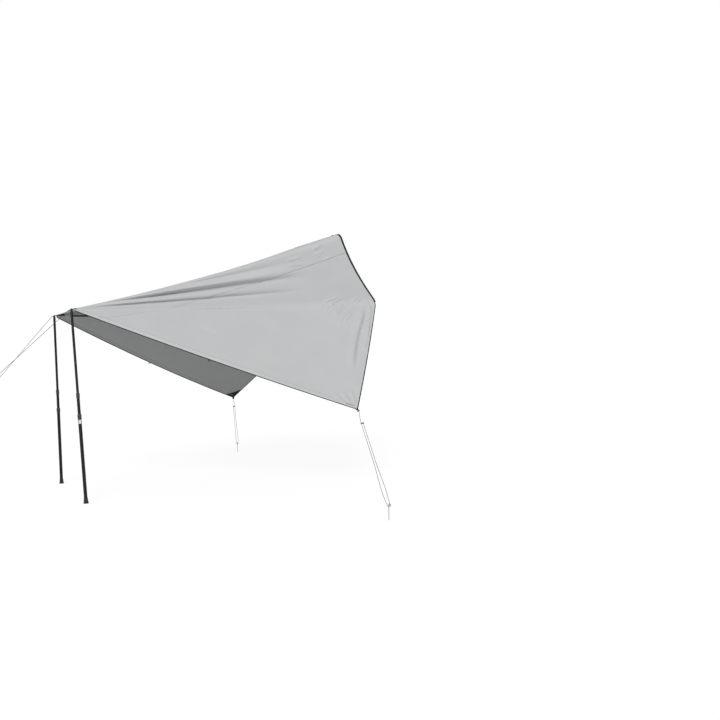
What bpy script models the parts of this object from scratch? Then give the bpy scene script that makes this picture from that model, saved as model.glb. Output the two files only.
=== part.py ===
# Tent awning: one sewn sheet zipped to a roof tent's front hoop, carried at the other end by two
# telescopic poles, with two drooping wings and four guy lines pegged to the ground.
# Metres, +Z up, ground at Z = 0. X runs from the poles to the tent, Y from the near side to the far.

import math

import bmesh
import bpy
import numpy as np
from mathutils import Matrix, Vector

# Set-up points of the near side, X measured from the line of the pole feet; the far side mirrors Y
FEET_TO_ORIGIN = 1.57975
POLE_FOOT = Vector((0.0, -0.7214, 0.0))
POLE_TOP = Vector((-0.0764, -0.5395, 1.8411))
HOOP_CORNER = Vector((2.797, -0.6368, 2.745))
HOOP_FOOT = Vector((3.256, -0.65, 1.976))
WING_CORNER = Vector((2.3836, -1.7238, 0.8303))
SIDES = ("near", "far")

# Cloth
CLOTH_THICKNESS = 0.0016
SEAM_GAP = 0.0003
SEAM_BELOW_RIDGE = 0.24
NEAR_HEM_SAG = 0.018
FAR_HEM_SAG = 0.036
CREASE_SAG = 0.03
RIDGE_SAG = 0.048
ROOF_SAG = 0.062
FRONT_SAG = 0.004
HOOP_EDGE_PULL = 0.05
WING_EDGE_BOW = 0.012
CORNER_SOFTNESS = 0.022
FRONT_START = 0.0125
# Folds that run out from the pole top: place from ridge (0) to crease (1) at the tent, and height;
# each is a roll with a narrower tuck below it, and starts closer to the ridge
FOLDS = ((0.205, 0.010), (0.41, 0.030), (0.665, 0.022))
FOLD_WIDTH = 0.09
FOLD_BEND = 0.33
FOLD_TUCK_AFTER = 0.4
FOLD_TUCK_WIDTH = 0.5
FOLD_TUCK_SHARE = 0.5
FOLD_FULL_BY = 0.35
FOLD_FADE = (0.70, 0.90)
ROWS_FROM_SEAM = 17
ROOF_SIDE_CELLS = 6
ROOF_TOP_CELLS = 4
WING_LOW_CELLS = 5
WING_FOLD_CELLS = 11

# Webbing and bindings along the edges
HEM_WIDTH = 0.013
HEM_THICKNESS = 0.0022
FRONT_HEM_WIDTH = 0.030
FRONT_HEM_THICKNESS = 0.003
LOAD_WIDTH = 0.012
LOAD_THICKNESS = 0.0015
LOAD_DROP = 0.0007
LOAD_START = 0.045
ZIP_TAPE_WIDTH = 0.016
ZIP_TAPE_THICKNESS = 0.0016
ZIP_COIL_WIDTH = 0.0044
ZIP_COIL_THICKNESS = 0.0032
ZIP_SLIDER_LENGTH = 0.014
ZIP_SLIDER_WALL = 0.0030
ZIP_SLIDER_CLEARANCE = 0.0005
ZIP_SLIDER_PARK = 0.19
PULL_LENGTH = 0.026
PULL_THICKNESS = 0.0018
PULL_LIFT = 12.0
PULL_EYE = 0.0023
PULL_BORE_RADIUS = 0.0012
PULL_BAR_RADIUS = 0.0008
PULL_BAR_ABOVE = 0.0026
PULL_EAR = 0.0014
PULL_EAR_HALF = 0.0018
PULL_EAR_INSET = 0.0004
PULL_SIDE_CLEARANCE = 0.0008
HEM_LOOP_SIZE = (0.024, 0.020)
HEM_LOOP_SLOT = (0.015, 0.010)
HEM_LOOP_THICKNESS = 0.002
HEM_LOOP_ALONG = 0.487

# Reinforced corners and their brass eyelets
POLE_PATCH_FRONT = 0.015
POLE_PATCH_HALF = 0.0165
POLE_PATCH_THICKNESS = 0.003
POLE_PATCH_NOSE = 0.55
POLE_PATCH_CHEEK = 0.4
POLE_PATCH_REAR = 0.7
WING_PATCH_HEM_LEG = 0.14
WING_PATCH_EDGE_LEG = 0.17
WING_PATCH_THICKNESS = 0.002
WING_TAB_LENGTH = 0.030
WING_TAB_HALF = 0.013
WING_TAB_SHOULDER = 0.015
WING_EYELET_OUT = 0.018
POLE_EYELET = {"bore": 0.0055, "barrel": 0.0068, "flange": 0.0125, "lip": 0.001}
WING_EYELET = {"bore": 0.0050, "barrel": 0.0062, "flange": 0.0095, "lip": 0.001}

# Telescopic poles; heights are measured up the pole from its foot
UPPER_TUBE_DIAMETER = 0.024
MIDDLE_TUBE_DIAMETER = 0.028
LOWER_TUBE_DIAMETER = 0.032
TUBE_WALL = 0.0011
UPPER_TUBE_BOTTOM = 0.93
MIDDLE_TUBE_BOTTOM = 0.185
MIDDLE_TUBE_TOP = 1.022
LOWER_TUBE_TOP = 0.821
SLIDING_CLEARANCE = 0.0003
BUSH_HEAD = 0.012
BUSH_BOSS = 0.012
BUSH_EDGE = 0.001
SPIGOT_RADIUS = 0.004
SPIGOT_ABOVE_TOP = 0.010
SPIGOT_SHOULDER = 0.014
SPIGOT_FLANGE = 0.0045
SPIGOT_NECK = 0.005
SPIGOT_NECK_FLARE = 0.0012
SPIGOT_TIP = 0.003
SPIGOT_BOSS = 0.025
FOOT_HEIGHT = 0.052
FOOT_SOLE_RADIUS = 0.024
FOOT_TOP_RADIUS = 0.0182
FOOT_FLOOR = 0.012
FOOT_RIM = 0.008
FOOT_WAIST_HEIGHT = 0.030
FOOT_WAIST_RADIUS = 0.0194
LEVER_FACING = Vector((-0.496, -0.868, 0.0))

# Flip clamps; heights are from the end of the tube that the clamp sits on
CLAMP_BELOW = 0.025
CLAMP_ABOVE = 0.022
CLAMP_WALL = 0.0027
CLAMP_EDGE = 0.0012
CLAMP_TOP_TAPER = (0.002, 0.004)
EAR_REACH = 0.0085
EAR_THICKNESS = 0.003
EAR_GAP = 0.0076
EAR_HALF_HEIGHT = 0.007
PIVOT_OUT = 0.0046
PIVOT_RADIUS = 0.0018
EAR_ROOT = 0.0016
PIN_BEYOND_EAR = 0.0008
CLAMP_SPLIT = 0.0016
LEVER_LENGTH = 0.032
LEVER_THICKNESS = 0.0042
LEVER_BACK = 0.0024
LEVER_CAM_RADIUS = 0.0040
LEVER_CAM_BOTTOM = 0.006
LEVER_PADDLE_WIDTH = 0.014
LEVER_PADDLE_BELOW_EAR = 0.003
LEVER_TOE = (0.003, 0.0055)
LEVER_TOE_LENGTH = 0.006

# Guy lines, their sliders and pegs
CORD_DIAMETER = 0.004
CORD_STRAND_HALF_GAP = 0.010
CORD_TAIL = 0.012
PIN_LOOP_RADIUS = 0.012
PIN_LOOP_SPREAD = (0.018, 0.0072)
KNOT_OUT = 0.026
TURN_BEFORE_SLIDER = 0.03
EYELET_PASS = (-0.012, -0.004, 0.002)
EYELET_OVER = (0.006, 0.013)
SLIDER_SIZE = (0.034, 0.011, 0.004)
SLIDER_CORNER = 0.003
SLIDER_HOLE_RADIUS = 0.0026
PEG_DIAMETER = 0.0055
PEG_HEIGHT = 0.137
PEG_HOOK_RADIUS = 0.009
PEG_HOOK_DROP = 0.012
PEG_LOOP_HEIGHT = 0.118
PEG_TIP_LENGTH = 0.022
PEG_TIP_RADIUS = 0.0012
# Each guy: the peg's place on the ground, the cord's slider measured from its start, hook heading
GUYS = {
    "near_pole": {"peg": (-1.86, -0.54), "slider_at": 2.00, "hook": 205.0},
    "far_pole": {"peg": (-1.49, 0.54), "slider_at": 1.54, "hook": 155.0},
    "near_wing": {"peg": (1.955, -2.98), "slider_at": 0.235, "hook": 300.0},
    "far_wing": {"peg": (2.663, 2.337), "slider_at": 0.165, "hook": 55.0},
}

BLACK_WEBBING = ("webbing", (0.012, 0.012, 0.013), 0.85, 0.0)
GREY_CLOTH = ("awning_cloth", (0.52, 0.53, 0.54), 0.8, 0.0)
BLACK_METAL = ("black_anodised", (0.010, 0.010, 0.011), 0.4, 0.7)
BLACK_PLASTIC = ("black_plastic", (0.028, 0.028, 0.028), 0.5, 0.0)
BLACK_RUBBER = ("black_rubber", (0.016, 0.016, 0.016), 0.9, 0.0)
GREY_STEEL = ("galvanised_steel", (0.42, 0.43, 0.44), 0.4, 1.0)
EYELET_METAL = ("eyelet_metal", (0.30, 0.30, 0.31), 0.35, 1.0)
CORD_FIBRE = ("guy_cord", (0.20, 0.20, 0.20), 0.9, 0.0)
NYLON_COIL = ("nylon_coil", (0.02, 0.02, 0.02), 0.5, 0.0)


# Start from an empty scene, with one empty that carries the whole awning

for old in list(bpy.data.objects):
    bpy.data.objects.remove(old, do_unlink=True)

awning = bpy.data.objects.new("awning_origin", None)
awning.location = (-FEET_TO_ORIGIN, 0.0, 0.0)
bpy.context.scene.collection.objects.link(awning)


def finish_of(look):
    """The material of a finish, made the first time it is asked for."""
    name, colour, roughness, metallic = look
    found = bpy.data.materials.get(name)
    if found:
        return found
    made = bpy.data.materials.new(name)
    made.use_nodes = True
    shader = made.node_tree.nodes["Principled BSDF"]
    shader.inputs["Base Color"].default_value = (*colour, 1.0)
    shader.inputs["Roughness"].default_value = roughness
    shader.inputs["Metallic"].default_value = metallic
    return made


def sign_of(side):
    """The near side is as measured, and the far side mirrors it in Y."""
    return -1.0 if side == "far" else 1.0


def mirrored(point, side):
    """A near-side point on the side asked for."""
    return Vector((point.x, point.y * sign_of(side), point.z))


def place(name, data, look, parent=awning, location=(0.0, 0.0, 0.0)):
    """Put a mesh or curve into the scene under its parent."""
    made = bpy.data.objects.new(name, data)
    bpy.context.scene.collection.objects.link(made)
    made.parent = parent
    made.location = location
    data.materials.clear()
    data.materials.append(finish_of(look))
    return made


def frame_matrix(origin, x_axis, y_axis, z_axis):
    """A placement whose columns are the given axes."""
    turn = Matrix((x_axis, y_axis, z_axis)).transposed().to_4x4()
    return Matrix.Translation(origin) @ turn


def mesh_of(bm, name, smooth_angle=None):
    """Turn a bmesh into a mesh whose faces point outwards."""
    bmesh.ops.remove_doubles(bm, verts=bm.verts, dist=1e-7)
    bmesh.ops.recalc_face_normals(bm, faces=bm.faces)
    mesh = bpy.data.meshes.new(name)
    bm.to_mesh(mesh)
    bm.free()
    if smooth_angle is not None:
        mesh.shade_smooth()
        mesh.set_sharp_from_angle(angle=math.radians(smooth_angle))
    return mesh


def lofted(sections, name, closed=False, smooth_angle=None):
    """A solid through rings of points that have the same count; capped unless it closes on itself."""
    bm = bmesh.new()
    rings = [[bm.verts.new(p) for p in section] for section in sections]
    count = len(rings[0])
    pairs = list(zip(rings, rings[1:]))
    if closed:
        pairs.append((rings[-1], rings[0]))
    for low, high in pairs:
        for i in range(count):
            j = (i + 1) % count
            bm.faces.new((low[i], low[j], high[j], high[i]))
    if not closed:
        bm.faces.new(rings[0])
        bm.faces.new(rings[-1])
    return mesh_of(bm, name, smooth_angle)


def turned(profile, name, sides=24):
    """A solid of revolution about Z from a closed outline of (radius, height) points."""
    bm = bmesh.new()
    rings = []
    for k in range(sides):
        angle = 2.0 * math.pi * k / sides
        rings.append([bm.verts.new((r * math.cos(angle), r * math.sin(angle), z)) for r, z in profile])
    for k in range(sides):
        low = rings[k]
        high = rings[(k + 1) % sides]
        for i in range(len(profile)):
            j = (i + 1) % len(profile)
            if profile[i][0] > 0.0 or profile[j][0] > 0.0:
                bm.faces.new((low[i], low[j], high[j], high[i]))
    bmesh.ops.remove_doubles(bm, verts=bm.verts, dist=1e-7)
    bmesh.ops.dissolve_degenerate(bm, edges=bm.edges, dist=1e-7)
    return mesh_of(bm, name, 35.0)


def block(low, high, name):
    """A box between two corners."""
    bm = bmesh.new()
    bmesh.ops.create_cube(bm, size=1.0)
    centre = (Vector(low) + Vector(high)) / 2.0
    size = Vector(high) - Vector(low)
    bmesh.ops.scale(bm, verts=bm.verts, vec=size)
    bmesh.ops.translate(bm, verts=bm.verts, vec=centre)
    return mesh_of(bm, name)


def rod(radius, start, end, name, sides=16):
    """A straight round rod between two points."""
    start = Vector(start)
    end = Vector(end)
    turn = (end - start).to_track_quat("Z", "Y").to_matrix()
    rings = []
    for centre in (start, end):
        ring = []
        for k in range(sides):
            angle = 2.0 * math.pi * k / sides
            ring.append(centre + turn @ Vector((radius * math.cos(angle), radius * math.sin(angle), 0.0)))
        rings.append(ring)
    return lofted(rings, name, smooth_angle=35.0)


def extruded(outline, axis_low, axis_high, name):
    """A plate whose outline lies in XZ, between two heights along Y."""
    low = [Vector((x, axis_low, z)) for x, z in outline]
    high = [Vector((x, axis_high, z)) for x, z in outline]
    return lofted((low, high), name)


def combined(base, tools, name):
    """Unite or cut a mesh with others, one after another, and give the new mesh."""
    body = bpy.data.objects.new(name + "_raw", base)
    bpy.context.scene.collection.objects.link(body)
    helpers = []
    for operation, tool in tools:
        helper = bpy.data.objects.new(name + "_tool", tool)
        bpy.context.scene.collection.objects.link(helper)
        helpers.append(helper)
        step = body.modifiers.new(operation, "BOOLEAN")
        step.operation = operation
        step.solver = "EXACT"
        step.object = helper
    bpy.context.view_layer.update()
    evaluated = body.evaluated_get(bpy.context.evaluated_depsgraph_get())
    mesh = bpy.data.meshes.new_from_object(evaluated)
    mesh.name = name
    for helper in helpers + [body]:
        bpy.data.objects.remove(helper, do_unlink=True)
    mesh.shade_smooth()
    mesh.set_sharp_from_angle(angle=math.radians(35.0))
    return mesh


# The shape of the cloth. s runs across it: 0 at the near hem, 1 on the centre line, 2 at the far hem.
# t runs along it: 0 at the poles, 1 at the tent.

S_CENTRE = 1.0
S_FAR_HEM = 2.0
T_TENT = 1.0
WING_LENGTH = (HOOP_FOOT - WING_CORNER).length
CHEEK_LENGTH = (HOOP_CORNER - HOOP_FOOT).length
HALF_ROOF = -HOOP_CORNER.y
S_CREASE = WING_LENGTH / (WING_LENGTH + CHEEK_LENGTH + HALF_ROOF)
S_RIDGE = (WING_LENGTH + CHEEK_LENGTH) / (WING_LENGTH + CHEEK_LENGTH + HALF_ROOF)


def on_side(side, s):
    """A place across the cloth, for one measured from the side's own hem."""
    return S_FAR_HEM - s if side == "far" else s


def bow(f):
    """A shallow arch that is 0 at both ends and 1 halfway."""
    return 4.0 * f * (1.0 - f)


def half_cloth(s, t, hem_sag):
    """The near half, without its folds and with sharp ridge and crease."""
    wing = np.clip(s / S_CREASE, 0.0, 1.0)
    cheek = np.clip((s - S_CREASE) / (S_RIDGE - S_CREASE), 0.0, 1.0)
    roof = np.clip((s - S_RIDGE) / (S_CENTRE - S_RIDGE), 0.0, 1.0)
    corner, foot, peak, top = (np.array(p) for p in (WING_CORNER, HOOP_FOOT, HOOP_CORNER, POLE_TOP))
    tent_end = corner + wing[..., None] * (foot - corner) + cheek[..., None] * (peak - foot)
    tent_end[..., 1] -= roof * peak[1]
    tent_end[..., 0] += WING_EDGE_BOW * bow(wing) - HOOP_EDGE_PULL * bow(cheek)
    pole_end = np.broadcast_to(top, tent_end.shape).copy()
    pole_end[..., 1] -= roof * top[1]
    pole_end[..., 2] -= FRONT_SAG * (1.0 - (1.0 - roof) ** 2)
    sag = hem_sag + wing * (CREASE_SAG - hem_sag)
    sag = sag + cheek * (RIDGE_SAG - CREASE_SAG) + roof * (ROOF_SAG - RIDGE_SAG)
    point = pole_end + t[..., None] * (tent_end - pole_end)
    point[..., 2] -= sag * bow(t)
    return point


def fold_height(s, t):
    """How far the folds that run out from the pole stand off the cheek."""
    place_down = (S_RIDGE - s) / (S_RIDGE - S_CREASE)
    grown = np.clip(t / FOLD_FULL_BY, 0.0, 1.0)
    fade = np.clip((FOLD_FADE[1] - t) / (FOLD_FADE[1] - FOLD_FADE[0]), 0.0, 1.0)
    strength = grown * fade * fade * (3.0 - 2.0 * fade)
    height = np.zeros_like(s)
    for centre, tall in FOLDS:
        from_line = (place_down - centre + FOLD_BEND * (1.0 - t) ** 3) / FOLD_WIDTH
        roll = np.exp(-((from_line + 1.0) ** 2))
        tuck = np.exp(-(((from_line - FOLD_TUCK_AFTER) / FOLD_TUCK_WIDTH) ** 2))
        height += tall * (roll - FOLD_TUCK_SHARE * tuck)
    return height * strength


def cloth(s, t):
    """The middle of the cloth at s and t, as an array of points."""
    s = np.asarray(s, float)
    t = np.asarray(t, float)
    s, t = np.broadcast_arrays(s, t)
    soft = np.minimum(CORNER_SOFTNESS, np.minimum(s, S_FAR_HEM - s))
    total = np.zeros(s.shape + (3,))
    steps = (-1.0, -0.5, 0.0, 0.5, 1.0)
    for step in steps:
        shifted = s + step * soft
        near = shifted <= S_CENTRE
        own = np.where(near, shifted, S_FAR_HEM - shifted)
        hem_sag = np.where(near, NEAR_HEM_SAG, FAR_HEM_SAG)
        point = half_cloth(own, t, hem_sag)
        point[..., 1] *= np.where(near, 1.0, -1.0)
        total += point / len(steps)
    near = s <= S_CENTRE
    fold = fold_height(np.where(near, s, S_FAR_HEM - s), t)
    total[..., 1] += np.where(near, -fold, fold)
    return total


def unit(v):
    """Vectors of length one."""
    return v / np.linalg.norm(v, axis=-1, keepdims=True)


def cloth_frame(s, t):
    """Point, direction towards the tent, direction across and outward normal."""
    s, t = np.broadcast_arrays(np.asarray(s, float), np.asarray(t, float))
    step = 1e-3
    along = cloth(s, np.minimum(t + step, T_TENT)) - cloth(s, np.maximum(t - step, 0.0))
    across = cloth(np.minimum(s + step, S_FAR_HEM), t) - cloth(np.maximum(s - step, 0.0), t)
    normal = unit(np.cross(along, across))
    return cloth(s, t), unit(along), unit(across), normal


def seam_place(t):
    """Where the roof panel's seam crosses: a set distance below the ridge, or the hem near the pole."""
    cheek = CHEEK_LENGTH * t
    wing = WING_LENGTH * t
    on_cheek = S_RIDGE - SEAM_BELOW_RIDGE / cheek * (S_RIDGE - S_CREASE)
    on_wing = S_CREASE * (1.0 - (SEAM_BELOW_RIDGE - cheek) / wing)
    return np.where(SEAM_BELOW_RIDGE <= cheek, on_cheek, np.maximum(on_wing, 0.0))


# Rows of the mesh: the wings start just behind the place where the seam leaves the hem
SEAM_START = SEAM_BELOW_RIDGE / (CHEEK_LENGTH + WING_LENGTH)
WING_START = SEAM_START * 1.015
SEAM_ROWS = WING_START + (T_TENT - WING_START) * np.linspace(0.0, 1.0, ROWS_FROM_SEAM) ** 1.25
FRONT_ROWS = np.array([FRONT_START, 0.35 * SEAM_START, 0.65 * SEAM_START, SEAM_START])
ALL_ROWS = np.concatenate((FRONT_ROWS, SEAM_ROWS))


def roof_columns(t):
    """Places across the roof panel, from its near seam to its far one."""
    down = np.linspace(0.0, 1.0, ROOF_SIDE_CELLS + 1)
    top = np.linspace(0.0, 1.0, ROOF_TOP_CELLS + 1)[1:]
    start = seam_place(t)
    half = np.concatenate((start + down * (S_RIDGE - start), S_RIDGE + top * (S_CENTRE - S_RIDGE)))
    return np.concatenate((half, on_side("far", half[:-1])[::-1]))


def wing_columns(t):
    """Places across a wing, from its hem to the seam, closer together in the folds."""
    crease = S_CREASE / seam_place(np.array(T_TENT))
    low = np.linspace(0.0, crease, WING_LOW_CELLS + 1)
    high = np.linspace(crease, 1.0, WING_FOLD_CELLS + 1)[1:]
    return np.concatenate((low, high)) * seam_place(t)


def slab(points, normals, thickness, name):
    """A closed sheet of even thickness through a grid of points."""
    rows, columns = points.shape[:2]
    bm = bmesh.new()
    layers = []
    for offset in (thickness / 2.0, -thickness / 2.0):
        moved = points + normals * offset
        layers.append([[bm.verts.new(moved[i, j]) for j in range(columns)] for i in range(rows)])
    for layer in layers:
        for i in range(rows - 1):
            for j in range(columns - 1):
                a, b, c, d = layer[i][j], layer[i + 1][j], layer[i + 1][j + 1], layer[i][j + 1]
                bm.faces.new((a, b, c))
                bm.faces.new((a, c, d))
    rim = [(0, j) for j in range(columns)] + [(i, columns - 1) for i in range(1, rows)]
    rim += [(rows - 1, j) for j in range(columns - 2, -1, -1)] + [(i, 0) for i in range(rows - 2, 0, -1)]
    for k in range(len(rim)):
        i, j = rim[k]
        m, n = rim[(k + 1) % len(rim)]
        a, b, c, d = layers[0][i][j], layers[0][m][n], layers[1][m][n], layers[1][i][j]
        if m < i:
            bm.faces.new((a, b, d))
            bm.faces.new((b, c, d))
        else:
            bm.faces.new((a, b, c))
            bm.faces.new((a, c, d))
    return mesh_of(bm, name, 40.0)


def panel(rows, columns_of, name, side="near"):
    """One sewn panel, drawn in at its seams and edges by half the gap between touching pieces.

    Its columns start at the hem of its own side.
    """
    way = sign_of(side)
    s = on_side(side, np.array([columns_of(np.array(t)) for t in rows]))
    t = np.broadcast_to(rows[:, None], s.shape)
    points, along, across, normals = cloth_frame(s, t)
    points[:, 0] += across[:, 0] * way * SEAM_GAP / 2.0
    points[:, -1] -= across[:, -1] * way * SEAM_GAP / 2.0
    points[-1] -= along[-1] * SEAM_GAP / 2.0
    points[0] += along[0] * SEAM_GAP / 2.0
    return slab(points, normals, CLOTH_THICKNESS, name)


place("canopy_roof", panel(ALL_ROWS, roof_columns, "canopy_roof"), GREY_CLOTH)
place("canopy_wing_near", panel(SEAM_ROWS, wing_columns, "canopy_wing_near"), GREY_CLOTH)
place("canopy_wing_far", panel(SEAM_ROWS, wing_columns, "canopy_wing_far", "far"), GREY_CLOTH)


# Webbing, bindings and zip along the cloth's edges

def edge_strip(edge, outward, normal, inner, outer, thickness, name):
    """A flat band beside an edge, from one distance outside it to another."""
    sections = []
    for p, o, n in zip(edge, outward, normal):
        p, o, n = Vector(p), Vector(o), Vector(n)
        lift = n * (thickness / 2.0)
        sections.append([p + o * inner + lift, p + o * outer + lift, p + o * outer - lift, p + o * inner - lift])
    return lofted(sections, name, smooth_angle=40.0)


HEM_OUTER = SEAM_GAP / 2.0 + HEM_WIDTH


def hem_loop(points, outward, normals, name):
    """A slotted webbing loop that hangs from the middle of one straight stretch of hem."""
    x_axis = Vector(points[1] - points[0]).normalized()
    z_axis = Vector(normals[0] + normals[1])
    z_axis = (z_axis - x_axis * z_axis.dot(x_axis)).normalized()
    y_axis = z_axis.cross(x_axis)
    drop = 1.0 if y_axis.dot(Vector(outward[0])) > 0.0 else -1.0
    middle = Vector((points[0] + points[1]) / 2.0)
    width, height = HEM_LOOP_SIZE
    slot_width, slot_height = HEM_LOOP_SLOT
    half = HEM_LOOP_THICKNESS / 2.0
    rim = (height - slot_height) / 2.0
    ys = sorted((drop * (HEM_OUTER - rim / 2.0), drop * (HEM_OUTER + height)))
    slot_ys = sorted((drop * (HEM_OUTER + rim), drop * (HEM_OUTER + rim + slot_height)))
    slot = block((-slot_width / 2, slot_ys[0], -height), (slot_width / 2, slot_ys[1], height), "slot")
    loop = block((-width / 2, ys[0], -half), (width / 2, ys[1], half), "loop")
    loop = combined(loop, [("DIFFERENCE", slot)], name)
    loop.transform(frame_matrix(middle, x_axis, y_axis, z_axis))
    return loop


tent_columns = wing_columns(np.array(T_TENT))
for side in SIDES:
    p, along, across, n = cloth_frame(np.full(ALL_ROWS.shape, on_side(side, 0.0)), ALL_ROWS)
    outward = -across * sign_of(side)
    strip = edge_strip(p, outward, n, SEAM_GAP / 2.0, HEM_OUTER, HEM_THICKNESS, "hem")
    ahead = int(np.searchsorted(ALL_ROWS, HEM_LOOP_ALONG))
    pair = slice(ahead - 1, ahead + 1)
    loop = hem_loop(p[pair], outward[pair], n[pair], "hem_loop")
    strip = combined(strip, [("UNION", loop)], "hem_webbing_" + side)
    place("hem_webbing_" + side, strip, BLACK_WEBBING)

    s = on_side(side, tent_columns[: WING_LOW_CELLS + 1])
    p, along, across, n = cloth_frame(s, np.full(s.shape, T_TENT))
    strip = edge_strip(p, along, n, SEAM_GAP / 2.0, HEM_OUTER, HEM_THICKNESS, "binding")
    place("tent_edge_binding_" + side, strip, BLACK_WEBBING)

    # A load-bearing webbing is sewn under the cloth, along the crease from the pole to the hoop's foot
    rows = ALL_ROWS[ALL_ROWS > LOAD_START][:-1]
    p, along, across, n = cloth_frame(np.full(rows.shape, on_side(side, S_CREASE)), rows)
    p = p - n * (CLOTH_THICKNESS / 2.0 + LOAD_DROP + LOAD_THICKNESS / 2.0)
    strip = edge_strip(p, across, n, -LOAD_WIDTH / 2.0, LOAD_WIDTH / 2.0, LOAD_THICKNESS, "load")
    place("load_webbing_" + side, strip, BLACK_WEBBING)

hoop_leg = tent_columns[WING_LOW_CELLS:-1]
HOOP_COLUMNS = np.concatenate((hoop_leg, roof_columns(np.array(T_TENT)), on_side("far", hoop_leg)[::-1]))
ZIP_START = SEAM_GAP / 2.0
ZIP_TAPE_END = ZIP_START + ZIP_TAPE_WIDTH
ZIP_COIL_START = ZIP_TAPE_END + SEAM_GAP
ZIP_COIL_END = ZIP_COIL_START + ZIP_COIL_WIDTH
hoop_p, hoop_along, _, hoop_n = cloth_frame(HOOP_COLUMNS, np.full(HOOP_COLUMNS.shape, T_TENT))
ridge_mid, top_along, _, top_normal = cloth_frame(np.array([S_CENTRE]), np.array([T_TENT]))
on_top = (HOOP_COLUMNS > S_RIDGE) & (HOOP_COLUMNS < on_side("far", S_RIDGE))
hoop_along[on_top] = top_along[0]
hoop_n[on_top] = top_normal[0]
hoop_along[0] = hoop_along[1]
hoop_along[-1] = hoop_along[-2]
tape = edge_strip(hoop_p, hoop_along, hoop_n, ZIP_START, ZIP_TAPE_END, ZIP_TAPE_THICKNESS, "tape")
place("zip_tape", tape, BLACK_WEBBING)
coil = edge_strip(hoop_p, hoop_along, hoop_n, ZIP_COIL_START, ZIP_COIL_END, ZIP_COIL_THICKNESS, "coil")
place("zip_coil", coil, NYLON_COIL)


# The zip's slider sits on the straight run over the hoop's top; its X points out from the cloth
slider_half = ZIP_SLIDER_LENGTH / 2.0
slot_half = ZIP_COIL_THICKNESS / 2.0 + ZIP_SLIDER_CLEARANCE
shell_half = slot_half + ZIP_SLIDER_WALL / 2.0
shell_in = ZIP_COIL_START - ZIP_SLIDER_WALL
shell_out = ZIP_COIL_END + ZIP_SLIDER_CLEARANCE + ZIP_SLIDER_WALL
ear_places = (shell_in + PULL_EAR_INSET, shell_out - PULL_EAR_INSET - PULL_EAR)
bar_height = shell_half + PULL_BAR_ABOVE
inside_out = ZIP_COIL_END + ZIP_SLIDER_CLEARANCE
shell_outline = (
    (shell_in, -shell_half),
    (shell_out, -shell_half),
    (shell_out, shell_half),
    (shell_in, shell_half),
    (shell_in, slot_half),
    (inside_out, slot_half),
    (inside_out, -slot_half),
    (shell_in, -slot_half),
)
ear_top = bar_height + PULL_EAR_HALF
ear_sunk = shell_half - PULL_EAR_INSET
slider_parts = []
for x in ear_places:
    ear_low = (x, -PULL_EAR_HALF, ear_sunk)
    ear_high = (x + PULL_EAR, PULL_EAR_HALF, ear_top)
    slider_parts.append(("UNION", block(ear_low, ear_high, "ear")))
bar_from = (ear_places[0] + PULL_EAR / 2.0, 0.0, bar_height)
bar_to = (ear_places[1] + PULL_EAR / 2.0, 0.0, bar_height)
slider_parts.append(("UNION", rod(PULL_BAR_RADIUS, bar_from, bar_to, "bar", 10)))
slider_shell = extruded(shell_outline, -slider_half, slider_half, "shell")
slider_mesh = combined(slider_shell, slider_parts, "zip_slider")
park_s = S_RIDGE + (S_CENTRE - S_RIDGE) * ZIP_SLIDER_PARK / HALF_ROOF
slider_origin = Vector(cloth(np.array([park_s]), np.array([T_TENT]))[0])
slider_frame = frame_matrix(slider_origin, Vector(top_along[0]), Vector((0, 1, 0)), Vector(top_normal[0]))
zip_parent = bpy.data.objects.new("zip_slider_frame", None)
bpy.context.scene.collection.objects.link(zip_parent)
zip_parent.parent = awning
zip_parent.matrix_local = slider_frame
place("zip_slider", slider_mesh, BLACK_METAL, zip_parent)

# The pull lies back along the zip; its origin is on the slider's bar
pull_half = (shell_out - shell_in) / 2.0 - PULL_EAR - PULL_SIDE_CLEARANCE
pull_centre = (shell_in + shell_out) / 2.0
pull_outline = [(PULL_THICKNESS / 2.0, PULL_LENGTH), (-PULL_THICKNESS / 2.0, PULL_LENGTH)]
for k in range(9):
    angle = math.radians(200.0 + 140.0 * k / 8.0)
    pull_outline.append((PULL_EYE * math.cos(angle), PULL_EYE * math.sin(angle)))
pull_bore = rod(PULL_BORE_RADIUS, (0.0, -2.0 * pull_half, 0.0), (0.0, 2.0 * pull_half, 0.0), "bore", 12)
pull_plate = extruded(pull_outline, -pull_half, pull_half, "pull")
pull_mesh = combined(pull_plate, [("DIFFERENCE", pull_bore)], "zip_pull")
pull = place("zip_pull", pull_mesh, BLACK_METAL, zip_parent, (pull_centre, 0.0, bar_height))
lift_sin = math.sin(math.radians(PULL_LIFT))
lift_cos = math.cos(math.radians(PULL_LIFT))
pull.rotation_euler = Matrix(((0, 1, 0), (-lift_sin, 0, lift_cos), (lift_cos, 0, lift_sin))).to_euler()


# Corners

def eyelet(size, plate, name):
    """A rolled eyelet through a plate, centred on the plate's middle."""
    half = plate / 2.0 + SEAM_GAP
    outline = (
        (size["bore"], -half - size["lip"]),
        (size["flange"], -half - size["lip"]),
        (size["flange"], -half),
        (size["barrel"], -half),
        (size["barrel"], half),
        (size["flange"], half),
        (size["flange"], half + size["lip"]),
        (size["bore"], half + size["lip"]),
    )
    return turned(outline, name, 16)


def plate_on(matrix, outline, low, high, hole, name):
    """A flat plate with one round hole; outline, hole centre and heights are in the matrix's frame."""
    bottom = [Vector((x, y, low)) for x, y in outline]
    top = [Vector((x, y, high)) for x, y in outline]
    mesh = lofted((bottom, top), name)
    hole_x, hole_y, hole_radius = hole
    ends = ((hole_x, hole_y, low - 0.002), (hole_x, hole_y, high + 0.002))
    mesh = combined(mesh, [("DIFFERENCE", rod(hole_radius, ends[0], ends[1], "hole", 16))], name)
    mesh.transform(matrix)
    return mesh


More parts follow.
